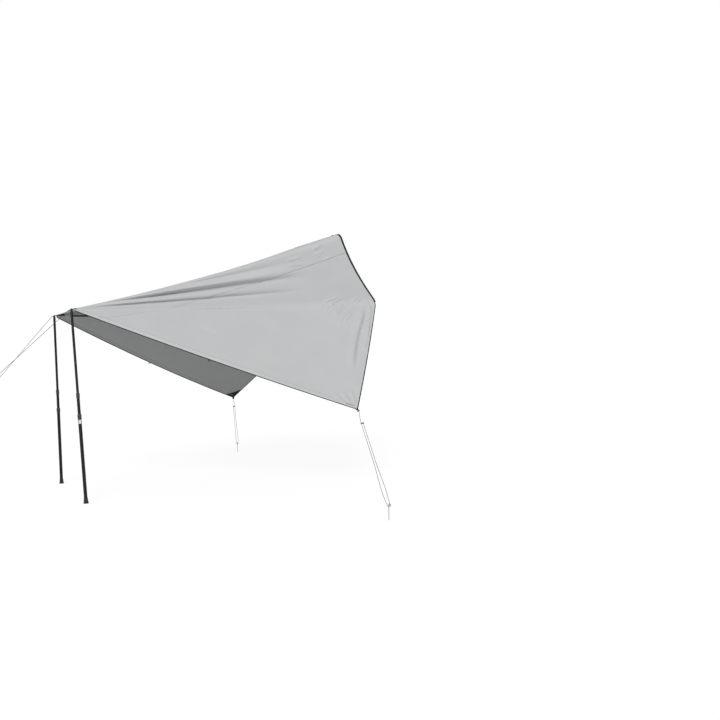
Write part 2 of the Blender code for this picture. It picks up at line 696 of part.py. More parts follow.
front_edge = cloth(np.array([S_RIDGE]), np.array([FRONT_START]))[0]
rear_x = front_edge[0] - POLE_TOP.x - SEAM_GAP
patch_rise = math.atan2(front_edge[2] - POLE_TOP.z, front_edge[0] - POLE_TOP.x)
rear_reach = rear_x / math.cos(patch_rise)
patch_frames = {}
for side in SIDES:
    x_axis = Vector((math.cos(patch_rise), 0.0, math.sin(patch_rise)))
    y_axis = Vector((0.0, 1.0, 0.0))
    patch_frames[side] = frame_matrix(mirrored(POLE_TOP, side), x_axis, y_axis, x_axis.cross(y_axis))
    nose = POLE_PATCH_HALF * POLE_PATCH_NOSE
    cheek = -POLE_PATCH_FRONT * POLE_PATCH_CHEEK
    rear_half = POLE_PATCH_HALF * POLE_PATCH_REAR
    outline = (
        (-POLE_PATCH_FRONT, -nose),
        (cheek, -POLE_PATCH_HALF),
        (rear_reach, -rear_half),
        (rear_reach, rear_half),
        (cheek, POLE_PATCH_HALF),
        (-POLE_PATCH_FRONT, nose),
    )
    half = POLE_PATCH_THICKNESS / 2.0
    hole = (0.0, 0.0, POLE_EYELET["barrel"] + SEAM_GAP)
    patch = plate_on(patch_frames[side], outline, -half, half, hole, "pole_patch")
    place("pole_patch_" + side, patch, BLACK_WEBBING)
    ring = eyelet(POLE_EYELET, POLE_PATCH_THICKNESS, "pole_eyelet")
    ring.transform(patch_frames[side])
    place("pole_eyelet_" + side, ring, EYELET_METAL)

# The front hem's webbing fills the span between the two pole patches, just ahead of the cloth
front_s = roof_columns(np.array(FRONT_START))[ROOF_SIDE_CELLS : ROOF_SIDE_CELLS + 2 * ROOF_TOP_CELLS + 1]
front_p, front_along, _, front_n = cloth_frame(front_s, np.full(front_s.shape, FRONT_START))
patch_side = -POLE_TOP.y - POLE_PATCH_HALF - SEAM_GAP
front_p[0, 1] = -patch_side
front_p[-1, 1] = patch_side
front_along[:] = front_along[ROOF_TOP_CELLS]
front_n[:] = front_n[ROOF_TOP_CELLS]
front = edge_strip(
    front_p, -front_along, front_n, SEAM_GAP / 2.0, FRONT_HEM_WIDTH, FRONT_HEM_THICKNESS, "front_hem"
)
place("front_hem_webbing", front, BLACK_WEBBING)

# Wing corners: a black triangle sewn under the cloth, with a tab that carries the guy's eyelet
tab_frames = {}
for side in SIDES:
    s = on_side(side, np.array([0.0, 0.0, tent_columns[1]]))
    t = np.array([ALL_ROWS[-2], T_TENT, T_TENT])
    back, tip, up = (Vector(p) for p in cloth(s, t))
    to_back = (back - tip).normalized()
    to_up = (up - tip).normalized()
    outward = to_up.cross(to_back).normalized() * sign_of(side)
    inward_mid = (to_back + to_up).normalized()
    sideways = outward.cross(inward_mid).normalized()
    tab_frame = frame_matrix(tip, inward_mid, sideways, outward)
    to_patch = tab_frame.inverted()
    back_leg = to_patch @ (tip + to_back * WING_PATCH_HEM_LEG)
    up_leg = to_patch @ (tip + to_up * WING_PATCH_EDGE_LEG)
    legs = sorted((back_leg, up_leg), key=lambda v: v.y)
    outline = (
        (-WING_TAB_LENGTH, -WING_TAB_HALF),
        (WING_TAB_SHOULDER, -WING_TAB_SHOULDER),
        (legs[0].x, legs[0].y),
        (legs[1].x, legs[1].y),
        (WING_TAB_SHOULDER, WING_TAB_SHOULDER),
        (-WING_TAB_LENGTH, WING_TAB_HALF),
    )
    high = -HEM_THICKNESS / 2.0 - SEAM_GAP
    low = high - WING_PATCH_THICKNESS
    hole = (-WING_EYELET_OUT, 0.0, WING_EYELET["barrel"] + SEAM_GAP)
    patch = plate_on(tab_frame, outline, low, high, hole, "wing_patch")
    place("wing_patch_" + side, patch, BLACK_WEBBING)
    eyelet_frame = tab_frame @ Matrix.Translation((-WING_EYELET_OUT, 0.0, (low + high) / 2.0))
    ring = eyelet(WING_EYELET, WING_PATCH_THICKNESS, "wing_eyelet")
    ring.transform(eyelet_frame)
    place("wing_eyelet_" + side, ring, EYELET_METAL)
    tab_frames[side] = eyelet_frame


# Poles

POLE_LENGTH = (POLE_TOP - POLE_FOOT).length
UPPER_BORE = UPPER_TUBE_DIAMETER / 2.0 - TUBE_WALL
MIDDLE_BORE = MIDDLE_TUBE_DIAMETER / 2.0 - TUBE_WALL
LOWER_BORE = LOWER_TUBE_DIAMETER / 2.0 - TUBE_WALL


def tube(outer, length, name):
    """An open tube standing on its own origin."""
    radius = outer / 2.0
    inner = radius - TUBE_WALL
    return turned(((inner, 0.0), (radius, 0.0), (radius, length), (inner, length)), name)


def bush(tube_bore, outer_bore, name):
    """An end plug that fills a tube's end and guides it in the next tube; origin at the tube's end."""
    boss = tube_bore - SLIDING_CLEARANCE
    head = outer_bore - SLIDING_CLEARANCE
    outline = (
        (0.0, -BUSH_HEAD),
        (head - BUSH_EDGE, -BUSH_HEAD),
        (head, -BUSH_HEAD + BUSH_EDGE),
        (head, -SLIDING_CLEARANCE),
        (boss, -SLIDING_CLEARANCE),
        (boss, BUSH_BOSS),
        (0.0, BUSH_BOSS),
    )
    return turned(outline, name, 20)


def spigot():
    """The steel pin and its plug in the top of the upper tube; origin at the eyelet's centre."""
    boss = UPPER_BORE - SLIDING_CLEARANCE
    flange = UPPER_TUBE_DIAMETER / 2.0
    flange_bottom = -SPIGOT_SHOULDER - SPIGOT_FLANGE
    outline = (
        (0.0, flange_bottom - SPIGOT_BOSS),
        (boss, flange_bottom - SPIGOT_BOSS),
        (boss, flange_bottom),
        (flange, flange_bottom),
        (flange, -SPIGOT_SHOULDER),
        (SPIGOT_RADIUS + SPIGOT_NECK_FLARE, -SPIGOT_NECK - SPIGOT_NECK_FLARE),
        (SPIGOT_RADIUS, -SPIGOT_NECK),
        (SPIGOT_RADIUS, SPIGOT_ABOVE_TOP - SPIGOT_TIP),
        (SPIGOT_RADIUS / 2.0, SPIGOT_ABOVE_TOP),
        (0.0, SPIGOT_ABOVE_TOP),
    )
    return turned(outline, "tip_spigot", 16)


def clamp(outer_tube, inner_tube, name):
    """The split collar of a flip clamp with its two ears; origin at the end of the outer tube."""
    seat = outer_tube / 2.0 + SLIDING_CLEARANCE
    guide = inner_tube / 2.0 + SLIDING_CLEARANCE
    body = outer_tube / 2.0 + CLAMP_WALL
    taper_in, taper_height = CLAMP_TOP_TAPER
    outline = (
        (seat, -CLAMP_BELOW),
        (body - CLAMP_EDGE, -CLAMP_BELOW),
        (body, -CLAMP_BELOW + CLAMP_EDGE),
        (body, CLAMP_ABOVE - taper_height),
        (body - taper_in, CLAMP_ABOVE),
        (guide, CLAMP_ABOVE),
        (guide, SLIDING_CLEARANCE),
        (seat, SLIDING_CLEARANCE),
    )
    ring = turned(outline, name)
    pivot = body + PIVOT_OUT
    ear_from = body - EAR_ROOT
    tools = []
    for hand in (-1.0, 1.0):
        ys = sorted((hand * EAR_GAP / 2.0, hand * (EAR_GAP / 2.0 + EAR_THICKNESS)))
        ear = block((ear_from, ys[0], -EAR_HALF_HEIGHT), (body + EAR_REACH, ys[1], EAR_HALF_HEIGHT), "ear")
        tools.append(("UNION", ear))
    split_low = (guide / 2.0, -CLAMP_SPLIT / 2.0, -2.0 * CLAMP_BELOW)
    split_high = (2.0 * body, CLAMP_SPLIT / 2.0, 2.0 * CLAMP_ABOVE)
    tools.append(("DIFFERENCE", block(split_low, split_high, "split")))
    reach = EAR_GAP + EAR_THICKNESS
    bore = PIVOT_RADIUS + SLIDING_CLEARANCE
    tools.append(("DIFFERENCE", rod(bore, (pivot, -reach, 0.0), (pivot, reach, 0.0), "pin_hole", 12)))
    return combined(ring, tools, name)


def lever(name):
    """The clamp's cam lever, hanging from its pin; origin on the pin's axis."""
    cam = []
    for k in range(13):
        angle = math.radians(-30.0 + 240.0 * k / 12.0)
        cam.append((LEVER_CAM_RADIUS * math.cos(angle), LEVER_CAM_RADIUS * math.sin(angle)))
    back = -LEVER_BACK
    front = LEVER_THICKNESS - LEVER_BACK
    blade = [
        (back, -LEVER_LENGTH + LEVER_TOE_LENGTH),
        (back + LEVER_TOE[0], -LEVER_LENGTH),
        (back + LEVER_TOE[1], -LEVER_LENGTH),
        (front, -LEVER_LENGTH + LEVER_TOE_LENGTH),
    ]
    paddle_top = -EAR_HALF_HEIGHT - LEVER_PADDLE_BELOW_EAR
    arm = cam + [(back, -LEVER_CAM_BOTTOM)] + blade + [(front, -LEVER_CAM_BOTTOM)]
    paddle = [(back, paddle_top)] + blade + [(front, paddle_top)]
    half = EAR_GAP / 2.0 - SLIDING_CLEARANCE
    wide = LEVER_PADDLE_WIDTH / 2.0
    bore = rod(PIVOT_RADIUS + SLIDING_CLEARANCE, (0.0, -EAR_GAP, 0.0), (0.0, EAR_GAP, 0.0), "bore", 12)
    tools = [("UNION", extruded(paddle, -wide, wide, "paddle")), ("DIFFERENCE", bore)]
    return combined(extruded(arm, -half, half, "arm"), tools, name)


def foot(pole_frame):
    """The rubber foot, cut flat by the ground under a leaning pole; origin at the pole's foot."""
    seat = LOWER_TUBE_DIAMETER / 2.0 + SLIDING_CLEARANCE
    outline = (
        (0.0, 0.0),
        (FOOT_SOLE_RADIUS, 0.0),
        (FOOT_SOLE_RADIUS, FOOT_RIM),
        (FOOT_WAIST_RADIUS, FOOT_WAIST_HEIGHT),
        (FOOT_TOP_RADIUS, FOOT_HEIGHT - FOOT_RIM),
        (FOOT_TOP_RADIUS, FOOT_HEIGHT),
        (seat, FOOT_HEIGHT),
        (seat, FOOT_FLOOR),
        (0.0, FOOT_FLOOR),
    )
    mesh = turned(outline, "foot")
    x_up, y_up, z_up = pole_frame[2][0], pole_frame[2][1], pole_frame[2][2]
    for v in mesh.vertices:
        if v.co.z < FOOT_RIM / 2.0:
            v.co.z = -(v.co.x * x_up + v.co.y * y_up) / z_up
    return mesh


clamp_meshes = {
    "upper": clamp(MIDDLE_TUBE_DIAMETER, UPPER_TUBE_DIAMETER, "upper_clamp"),
    "lower": clamp(LOWER_TUBE_DIAMETER, MIDDLE_TUBE_DIAMETER, "lower_clamp"),
}
clamp_tubes = {"upper": MIDDLE_TUBE_DIAMETER, "lower": LOWER_TUBE_DIAMETER}
clamp_heights = {"upper": MIDDLE_TUBE_TOP, "lower": LOWER_TUBE_TOP}
lever_mesh = lever("lever")
pin_half = EAR_GAP / 2.0 + EAR_THICKNESS + PIN_BEYOND_EAR
pin_mesh = rod(PIVOT_RADIUS, (0.0, -pin_half, 0.0), (0.0, pin_half, 0.0), "lever_pin", 12)
upper_tube_top = POLE_LENGTH - SPIGOT_SHOULDER - SPIGOT_FLANGE - SEAM_GAP
upper_tube_mesh = tube(UPPER_TUBE_DIAMETER, upper_tube_top - UPPER_TUBE_BOTTOM, "upper_tube")
middle_tube_mesh = tube(MIDDLE_TUBE_DIAMETER, MIDDLE_TUBE_TOP - MIDDLE_TUBE_BOTTOM, "middle_tube")
lower_tube_bottom = FOOT_FLOOR + SEAM_GAP
lower_tube_mesh = tube(LOWER_TUBE_DIAMETER, LOWER_TUBE_TOP - lower_tube_bottom, "lower_tube")
upper_bush_mesh = bush(UPPER_BORE, MIDDLE_BORE, "upper_bush")
middle_bush_mesh = bush(MIDDLE_BORE, LOWER_BORE, "middle_bush")
spigot_mesh = spigot()

for side in SIDES:
    top_point = mirrored(POLE_TOP, side)
    axis = (top_point - mirrored(POLE_FOOT, side)).normalized()
    facing = (LEVER_FACING - axis * LEVER_FACING.dot(axis)).normalized()
    pole_frame = frame_matrix(top_point, facing, axis.cross(facing), axis)
    pole = bpy.data.objects.new(side + "_pole", None)
    bpy.context.scene.collection.objects.link(pole)
    pole.parent = awning
    pole.matrix_local = pole_frame

    def up(height):
        """A place on the pole's axis, at a height from its foot."""
        return (0.0, 0.0, height - POLE_LENGTH)

    place(side + "_tip_spigot", spigot_mesh, BLACK_METAL, pole)
    place(side + "_upper_tube", upper_tube_mesh, BLACK_METAL, pole, up(UPPER_TUBE_BOTTOM))
    place(side + "_upper_bush", upper_bush_mesh, BLACK_PLASTIC, pole, up(UPPER_TUBE_BOTTOM))
    place(side + "_middle_tube", middle_tube_mesh, BLACK_METAL, pole, up(MIDDLE_TUBE_BOTTOM))
    place(side + "_middle_bush", middle_bush_mesh, BLACK_PLASTIC, pole, up(MIDDLE_TUBE_BOTTOM))
    place(side + "_lower_tube", lower_tube_mesh, BLACK_METAL, pole, up(lower_tube_bottom))
    place(side + "_foot", foot(pole_frame), BLACK_RUBBER, pole, up(0.0))
    for level, height in clamp_heights.items():
        name = side + "_" + level
        place(name + "_clamp", clamp_meshes[level], BLACK_PLASTIC, pole, up(height))
        pivot = clamp_tubes[level] / 2.0 + CLAMP_WALL + PIVOT_OUT
        pivot_place = (pivot, 0.0, height - POLE_LENGTH)
        place(name + "_lever", lever_mesh, BLACK_PLASTIC, pole, pivot_place)
        place(name + "_lever_pin", pin_mesh, GREY_STEEL, pole, pivot_place)


# Guy lines, sliders and pegs

def swept(points, radii, name, sides=8):
    """A rod of changing radius along a path, with flat ends."""
    sections = []
    x_axis = None
    for k, point in enumerate(points):
        ahead = points[min(k + 1, len(points) - 1)]
        behind = points[max(k - 1, 0)]
        along = (ahead - behind).normalized()
        if x_axis is None:
            x_axis = along.orthogonal()
        x_axis = (x_axis - along * x_axis.dot(along)).normalized()
        y_axis = along.cross(x_axis)
        ring = []
        for i in range(sides):
            angle = 2.0 * math.pi * i / sides
            ring.append(point + (x_axis * math.cos(angle) + y_axis * math.sin(angle)) * radii[k])
        sections.append(ring)
    return lofted(sections, name, smooth_angle=50.0)


def bezier(a, b, c, d, count):
    """Points on a cubic curve, without its first."""
    points = []
    for k in range(1, count + 1):
        f = k / count
        g = 1.0 - f
        points.append(a * g**3 + b * 3 * g * g * f + c * 3 * g * f * f + d * f**3)
    return points


def peg_mesh(ground, heading, name):
    """A bent steel peg standing on its point at a place on the ground."""
    hook_way = Vector((math.cos(heading), math.sin(heading), 0.0))
    up = Vector((0.0, 0.0, 1.0))
    shaft_top = PEG_HEIGHT - PEG_HOOK_RADIUS
    points = [ground.copy(), ground + up * PEG_TIP_LENGTH, ground + up * shaft_top * 0.6, ground + up * shaft_top]
    radius = PEG_DIAMETER / 2.0
    radii = [PEG_TIP_RADIUS] + [radius] * 3
    centre = ground + up * shaft_top + hook_way * PEG_HOOK_RADIUS
    for k in range(1, 7):
        angle = math.pi * (1.0 - k / 6.0)
        around = hook_way * math.cos(angle) + up * math.sin(angle)
        points.append(centre + around * PEG_HOOK_RADIUS)
        radii.append(radius)
    points.append(points[-1] - up * PEG_HOOK_DROP)
    radii.append(radius)
    return swept(points, radii, name)


def pin_loop(eyelet_frame, along):
    """The eye of a pole's guy, laid round the spigot under the eyelet, from knot to knot."""
    normal = eyelet_frame.to_3x3().col[2]
    flat = (along - normal * along.dot(normal)).normalized()
    sideways = flat.cross(normal)
    lip = POLE_PATCH_THICKNESS / 2.0 + SEAM_GAP + POLE_EYELET["lip"]
    centre = eyelet_frame.translation - normal * (lip + SEAM_GAP + CORD_DIAMETER / 2.0)
    knot = centre + flat * KNOT_OUT
    strand = CORD_DIAMETER * 0.75
    ahead = flat * PIN_LOOP_SPREAD[0]
    apart = sideways * PIN_LOOP_SPREAD[1]
    points = [knot - sideways * strand, centre + ahead - apart]
    for k in range(9):
        angle = math.radians(-50.0 - 260.0 * k / 8.0)
        points.append(centre + (flat * math.cos(angle) + sideways * math.sin(angle)) * PIN_LOOP_RADIUS)
    points += [centre + ahead + apart, knot + sideways * strand]
    return points


def guy_route(name, side):
    """The route of one guy line, with its slider's and its peg's places."""
    data = GUYS[name]
    ground = Vector((data["peg"][0], data["peg"][1], 0.0))
    hook = ground + Vector((0.0, 0.0, PEG_LOOP_HEIGHT))
    eyelet_frame = patch_frames[side] if name.endswith("pole") else tab_frames[side]
    up = eyelet_frame.to_3x3().col[2]
    start = eyelet_frame.translation
    along = (hook - start).normalized()
    sideways = along.cross(Vector((0.0, 0.0, 1.0))).normalized()
    level = math.hypot(along.x, along.y)
    round_peg = (CORD_DIAMETER / 2.0 + PEG_DIAMETER / 2.0 + SEAM_GAP) / level
    bend = hook + along * (round_peg - CORD_STRAND_HALF_GAP)
    slider = start + along * data["slider_at"]
    first_hole = slider + sideways * CORD_STRAND_HALF_GAP
    if name.endswith("pole"):
        points = pin_loop(eyelet_frame, along)
    else:
        flat = (along - up * along.dot(up)).normalized()
        start = start + flat * (WING_EYELET["bore"] - CORD_DIAMETER / 2.0 - SEAM_GAP)
        points = [start + up * height for height in EYELET_PASS]
        over = start + flat * EYELET_OVER[0] + up * EYELET_OVER[1]
        points += bezier(points[-1], start + up * 0.009, over, over + along * 0.010, 6)
    turn_in = slider - along * TURN_BEFORE_SLIDER + sideways * CORD_STRAND_HALF_GAP
    reach = (turn_in - points[-1]).length
    a = points[-1]
    points += bezier(a, a + along * reach * 0.3, turn_in - along * reach * 0.3, turn_in, 4)
    points.append(first_hole)
    far = (bend - slider).length
    points += [first_hole + along * far * 0.5, bend + sideways * CORD_STRAND_HALF_GAP]
    for k in range(1, 8):
        angle = math.pi * k / 8.0
        points.append(bend + (sideways * math.cos(angle) + along * math.sin(angle)) * CORD_STRAND_HALF_GAP)
    back = slider - sideways * CORD_STRAND_HALF_GAP
    points += [bend - sideways * CORD_STRAND_HALF_GAP, back + along * far * 0.5, back]
    points.append(back - along * CORD_TAIL)
    return points, slider, along, sideways, ground


def slider_bar(centre, along, sideways, name):
    """The flat bar that a guy line is tightened with; both strands pass through it."""
    length, height, thickness = SLIDER_SIZE
    half_l = length / 2.0
    half_h = height / 2.0
    flat_l = half_l - SLIDER_CORNER
    flat_h = half_h - SLIDER_CORNER
    outline = (
        (-flat_l, -half_h),
        (flat_l, -half_h),
        (half_l, -flat_h),
        (half_l, flat_h),
        (flat_l, half_h),
        (-flat_l, half_h),
        (-half_l, flat_h),
        (-half_l, -flat_h),
    )
    plate = extruded(outline, -thickness / 2.0, thickness / 2.0, name)
    tools = []
    for x in (-CORD_STRAND_HALF_GAP, CORD_STRAND_HALF_GAP):
        tools.append(("DIFFERENCE", rod(SLIDER_HOLE_RADIUS, (x, -height, 0.0), (x, height, 0.0), "hole", 12)))
    mesh = combined(plate, tools, name)
    return mesh, frame_matrix(centre, sideways, along, sideways.cross(along))


for guy_name in GUYS:
    points, slider, along, sideways, ground = guy_route(guy_name, guy_name.split("_")[0])
    curve = bpy.data.curves.new(guy_name + "_guy", "CURVE")
    curve.dimensions = "3D"
    curve.bevel_depth = CORD_DIAMETER / 2.0
    curve.bevel_resolution = 2
    curve.use_fill_caps = True
    spline = curve.splines.new("POLY")
    spline.points.add(len(points) - 1)
    for spot, point in zip(spline.points, points):
        spot.co = (*point, 1.0)
    place(guy_name + "_guy", curve, CORD_FIBRE)
    bar_mesh, bar_frame = slider_bar(slider, along, sideways, guy_name + "_slider")
    made = place(guy_name + "_slider", bar_mesh, BLACK_PLASTIC)
    made.matrix_local = bar_frame
    heading = math.radians(GUYS[guy_name]["hook"])
    place(guy_name + "_peg", peg_mesh(ground, heading, guy_name + "_peg"), GREY_STEEL)

bpy.context.view_layer.update()
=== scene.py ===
import math

import bmesh
import bpy
import numpy as np
from mathutils import Matrix, Vector, noise


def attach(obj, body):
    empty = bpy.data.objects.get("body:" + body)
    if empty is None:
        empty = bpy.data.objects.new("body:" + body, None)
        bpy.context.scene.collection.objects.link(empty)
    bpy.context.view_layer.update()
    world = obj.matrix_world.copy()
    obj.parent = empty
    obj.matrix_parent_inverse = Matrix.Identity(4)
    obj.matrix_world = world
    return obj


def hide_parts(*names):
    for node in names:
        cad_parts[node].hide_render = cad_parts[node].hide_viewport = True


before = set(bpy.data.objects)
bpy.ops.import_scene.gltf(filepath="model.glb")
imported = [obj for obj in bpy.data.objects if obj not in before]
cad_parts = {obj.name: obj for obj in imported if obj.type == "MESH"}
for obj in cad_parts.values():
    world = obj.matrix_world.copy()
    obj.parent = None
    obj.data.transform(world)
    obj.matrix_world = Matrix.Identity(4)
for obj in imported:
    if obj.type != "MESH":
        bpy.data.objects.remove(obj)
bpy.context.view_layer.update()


# The view of the photograph: a camera at chest height off the near wing's corner, 8 m from the poles,
# held almost level.
LENS = 38.594
SENSOR = 36.0
CAMERA_PLACE = (-2.92865, -8.3304, 1.3078)
CAMERA_TURNS = (("Z", -29.728), ("X", 90.029), ("Z", -0.880))


def place(name, data):
    """Put a mesh, a camera or a lamp into the scene under a name."""
    made = bpy.data.objects.new(name, data)
    bpy.context.scene.collection.objects.link(made)
    return made


camera_data = bpy.data.cameras.new("camera")
camera_data.lens = LENS
camera_data.sensor_width = SENSOR
camera = place("camera", camera_data)
aim = Matrix.Translation(CAMERA_PLACE)
for axis, angle in CAMERA_TURNS:
    aim = aim @ Matrix.Rotation(math.radians(angle), 4, axis)
camera.matrix_world = aim
bpy.context.scene.camera = camera
bpy.context.scene.view_settings.view_transform = "Standard"


# The studio: a white floor that still takes the awning's soft shadow, an even sky and one broad lamp
# high on the left.
FLOOR_HALF = 60.0
FLOOR_BOUNCE = (0.80, 0.80, 0.80, 1.0)
FLOOR_SHADOW_SHARE = (0.18, 0.18, 0.182, 1.0)
FLOOR_GLOW = 0.88
SKY_COLOUR = (1.0, 1.0, 1.0, 1.0)
SKY_STRENGTH = 0.42
LAMP_FROM = Vector((-0.46, -0.76, 0.50))
LAMP_STRENGTH = 1.85
LAMP_ANGLE = 24.0


def add(tree, kind, **settings):
    """A new node with its settings."""
    node = tree.nodes.new(kind)
    for name, value in settings.items():
        setattr(node, name, value)
    return node


def feed(tree, socket, value):
    """Link another socket into this one, or set a plain value on it."""
    if isinstance(value, bpy.types.NodeSocket):
        tree.links.new(value, socket)
    else:
        socket.default_value = value


def fill(tree, node, **values):
    """Link or set a node's inputs by their names."""
    for name, value in values.items():
        feed(tree, node.inputs[name.replace("_", " ")], value)
    return node


def wired(tree, node, *values):
    """The first output of a node whose inputs are linked or set in order."""
    for socket, value in zip(node.inputs, values):
        feed(tree, socket, value)
    return node.outputs[0]


def calculate(tree, operation, *values):
    """The result of one Math node on sockets or numbers."""
    return wired(tree, add(tree, "ShaderNodeMath", operation=operation), *values)


def seen_directly(tree):
    """One for camera, mirror and glass rays, and zero for the light that bounces."""
    rays = add(tree, "ShaderNodeLightPath")
    seen = calculate(tree, "MAXIMUM", rays.outputs["Is Camera Ray"], rays.outputs["Is Glossy Ray"])
    return calculate(tree, "MAXIMUM", seen, rays.outputs["Is Transmission Ray"])


def bounced_or_seen(tree, kind, bounced, seen):
    """Put out one shader for the light that bounces and another where it is looked at."""
    choice = wired(tree, add(tree, "ShaderNodeMixShader"), seen_directly(tree), bounced, seen)
    feed(tree, add(tree, kind).inputs["Surface"], choice)


def floor_material():
    """White where it is looked at, less the awning's shadow, and pale grey to the light that bounces."""
    made = bpy.data.materials.new("studio_floor")
    made.use_nodes = True
    tree = made.node_tree
    tree.nodes.clear()
    bounce = wired(tree, add(tree, "ShaderNodeBsdfDiffuse"), FLOOR_BOUNCE)
    shadowed = wired(tree, add(tree, "ShaderNodeBsdfDiffuse"), FLOOR_SHADOW_SHARE)
    glow = fill(tree, add(tree, "ShaderNodeEmission"), Strength=FLOOR_GLOW)
    shown = wired(tree, add(tree, "ShaderNodeAddShader"), shadowed, glow.outputs[0])
    bounced_or_seen(tree, "ShaderNodeOutputMaterial", bounce, shown)
    return made


floor_mesh = bpy.data.meshes.new("studio_floor")
corners = [(x * FLOOR_HALF, y * FLOOR_HALF, 0.0) for x, y in ((-1, -1), (1, -1), (1, 1), (-1, 1))]
floor_mesh.from_pydata(corners, [], [(0, 1, 2, 3)])
floor_mesh.materials.append(floor_material())
place("studio_floor", floor_mesh)

lamp_data = bpy.data.lights.new("broad_lamp", "SUN")
lamp_data.energy = LAMP_STRENGTH
lamp_data.angle = math.radians(LAMP_ANGLE)
place("broad_lamp", lamp_data).rotation_euler = LAMP_FROM.to_track_quat("Z", "Y").to_euler()

sky = bpy.data.worlds.new("even_sky")
bpy.context.scene.world = sky
sky.use_nodes = True
sky_tree = sky.node_tree
sky_tree.nodes.clear()
sky_lit = wired(sky_tree, add(sky_tree, "ShaderNodeBackground"), SKY_COLOUR, SKY_STRENGTH)
sky_seen = wired(sky_tree, add(sky_tree, "ShaderNodeBackground"), SKY_COLOUR)
bounced_or_seen(sky_tree, "ShaderNodeOutputWorld", sky_lit, sky_seen)


# Roof panel: the middle of the sheet, a coated polyester cloth cut in one length with the top of both
# cheeks. It is drawn tight between the hoop and the poles, and sags a little in between.
FEET_TO_ORIGIN = 1.57975


def from_feet(x, y, z):
    """A place of the near side, measured from the line of the pole feet."""
    return np.array((x - FEET_TO_ORIGIN, y, z))


POLE_FOOT = from_feet(0.0, -0.7214, 0.0)
POLE_TOP = from_feet(-0.0764, -0.5395, 1.8411)
HOOP_CORNER = from_feet(2.797, -0.6368, 2.745)
HOOP_FOOT = from_feet(3.256, -0.65, 1.976)
WING_CORNER = from_feet(2.3836, -1.7238, 0.8303)
SIDES = ("near", "far")
CLOTH_THICKNESS = 0.0011
SEAM_BELOW_RIDGE = 0.24
HEM_SAGS = {"near": 0.018, "far": 0.036}
CREASE_SAG = 0.03
RIDGE_SAG = 0.048
ROOF_SAG = 0.062
FRONT_SAG = 0.004
HOOP_EDGE_PULL = 0.05
WING_EDGE_BOW = 0.012
CORNER_SOFTNESS = 0.022
CORNER_STEPS = 15
FRONT_START = 0.0125
# Big folds that run out from the pole top over the cheek, each a roll with a narrower tuck below it:
# the tuck's place at the tent from ridge to crease and how far it bends up towards the pole, where it
# grows and fades, the roll's height, the tuck's depth and the tuck's width as a share of the cheek
FOLDS = (
    (0.215, 0.30, (0.25, 0.45), (0.62, 0.80), 0.009, 0.007, 0.035),
    (0.480, 0.36, (0.10, 0.32), (0.52, 0.86), 0.038, 0.028, 0.045),
    (0.715, 0.20, (0.03, 0.20), (0.50, 0.80), 0.016, 0.017, 0.030),
)
FOLD_WIDTH = 0.09
FOLD_ROLL_ABOVE = 0.115
TUCK_LEAST = 0.007
S_CENTRE = 1.0
S_FAR_HEM = 2.0
WING_LENGTH = float(np.linalg.norm(HOOP_FOOT - WING_CORNER))
CHEEK_LENGTH = float(np.linalg.norm(HOOP_CORNER - HOOP_FOOT))
HALF_ROOF = float(-HOOP_CORNER[1])
S_CREASE = WING_LENGTH / (WING_LENGTH + CHEEK_LENGTH + HALF_ROOF)
S_RIDGE = (WING_LENGTH + CHEEK_LENGTH) / (WING_LENGTH + CHEEK_LENGTH + HALF_ROOF)
SEAM_START = SEAM_BELOW_RIDGE / (CHEEK_LENGTH + WING_LENGTH)

# Small wrinkles of the cloth laid flat, as half width, height (a groove is below zero) and the line that
# it follows. u runs along the crease from the pole top, v across it, up the cheek and down the wing.
HOOP_FOOT_FAN = (
    (0.011, 0.0085, ((2.67, 0.013), (2.77, 0.046), (2.88, 0.081))),
    (0.009, 0.0060, ((2.71, -0.016), (2.83, 0.034), (2.94, 0.069))),
    (0.010, 0.0045, ((2.60, -0.085), (2.63, -0.038), (2.66, 0.018))),
    (0.011, 0.0070, ((2.66, -0.084), (2.73, -0.043), (2.80, -0.017))),
    (0.010, 0.0065, ((2.70, -0.115), (2.79, -0.060), (2.86, -0.038))),
    (0.011, 0.0085, ((2.72, -0.158), (2.83, -0.079), (2.95, 0.018))),
    (0.011, 0.0085, ((2.71, -0.214), (2.86, -0.098), (2.98, -0.011))),
    (0.013, 0.0090, ((2.71, -0.340), (2.82, -0.236), (2.92, -0.145), (3.00, -0.098))),
    (0.013, 0.0090, ((2.80, -0.318), (2.89, -0.227), (2.97, -0.147))),
    (0.010, 0.0070, ((3.02, 0.015), (3.07, 0.043), (3.11, 0.071))),
    (0.009, 0.0065, ((3.08, 0.016), (3.12, 0.038), (3.15, 0.062))),
)
TENT_EDGE_FOLDS = (
    (
        0.032,
        0.0240,
        ((3.17, -0.045), (3.03, -0.262), (2.92, -0.435), (2.82, -0.600), (2.70, -0.824), (2.57, -1.085)),
    ),
    (
        0.022,
        -0.0130,
        ((3.20, -0.060), (3.09, -0.262), (2.98, -0.432), (2.88, -0.598), (2.77, -0.820), (2.62, -1.090)),
    ),
    (0.020, 0.0120, ((3.26, -0.030), (3.15, -0.250), (3.06, -0.426), (2.96, -0.604))),
    (0.018, -0.0090, ((3.30, -0.028), (3.19, -0.250), (3.10, -0.420))),
    (0.018, 0.0070, ((3.10, -0.372), (2.95, -0.631), (2.85, -0.804))),
)
WING_CORNER_PULLS = (
    (0.013, 0.0075, ((2.28, -1.330), (2.33, -1.430), (2.38, -1.515))),
    (0.013, 0.0090, ((2.375, -1.310), (2.40, -1.415), (2.43, -1.520))),
    (0.013, 0.0080, ((2.485, -1.300), (2.47, -1.430), (2.45, -1.530))),
    (0.009, -0.0045, ((2.43, -1.350), (2.44, -1.470))),
)
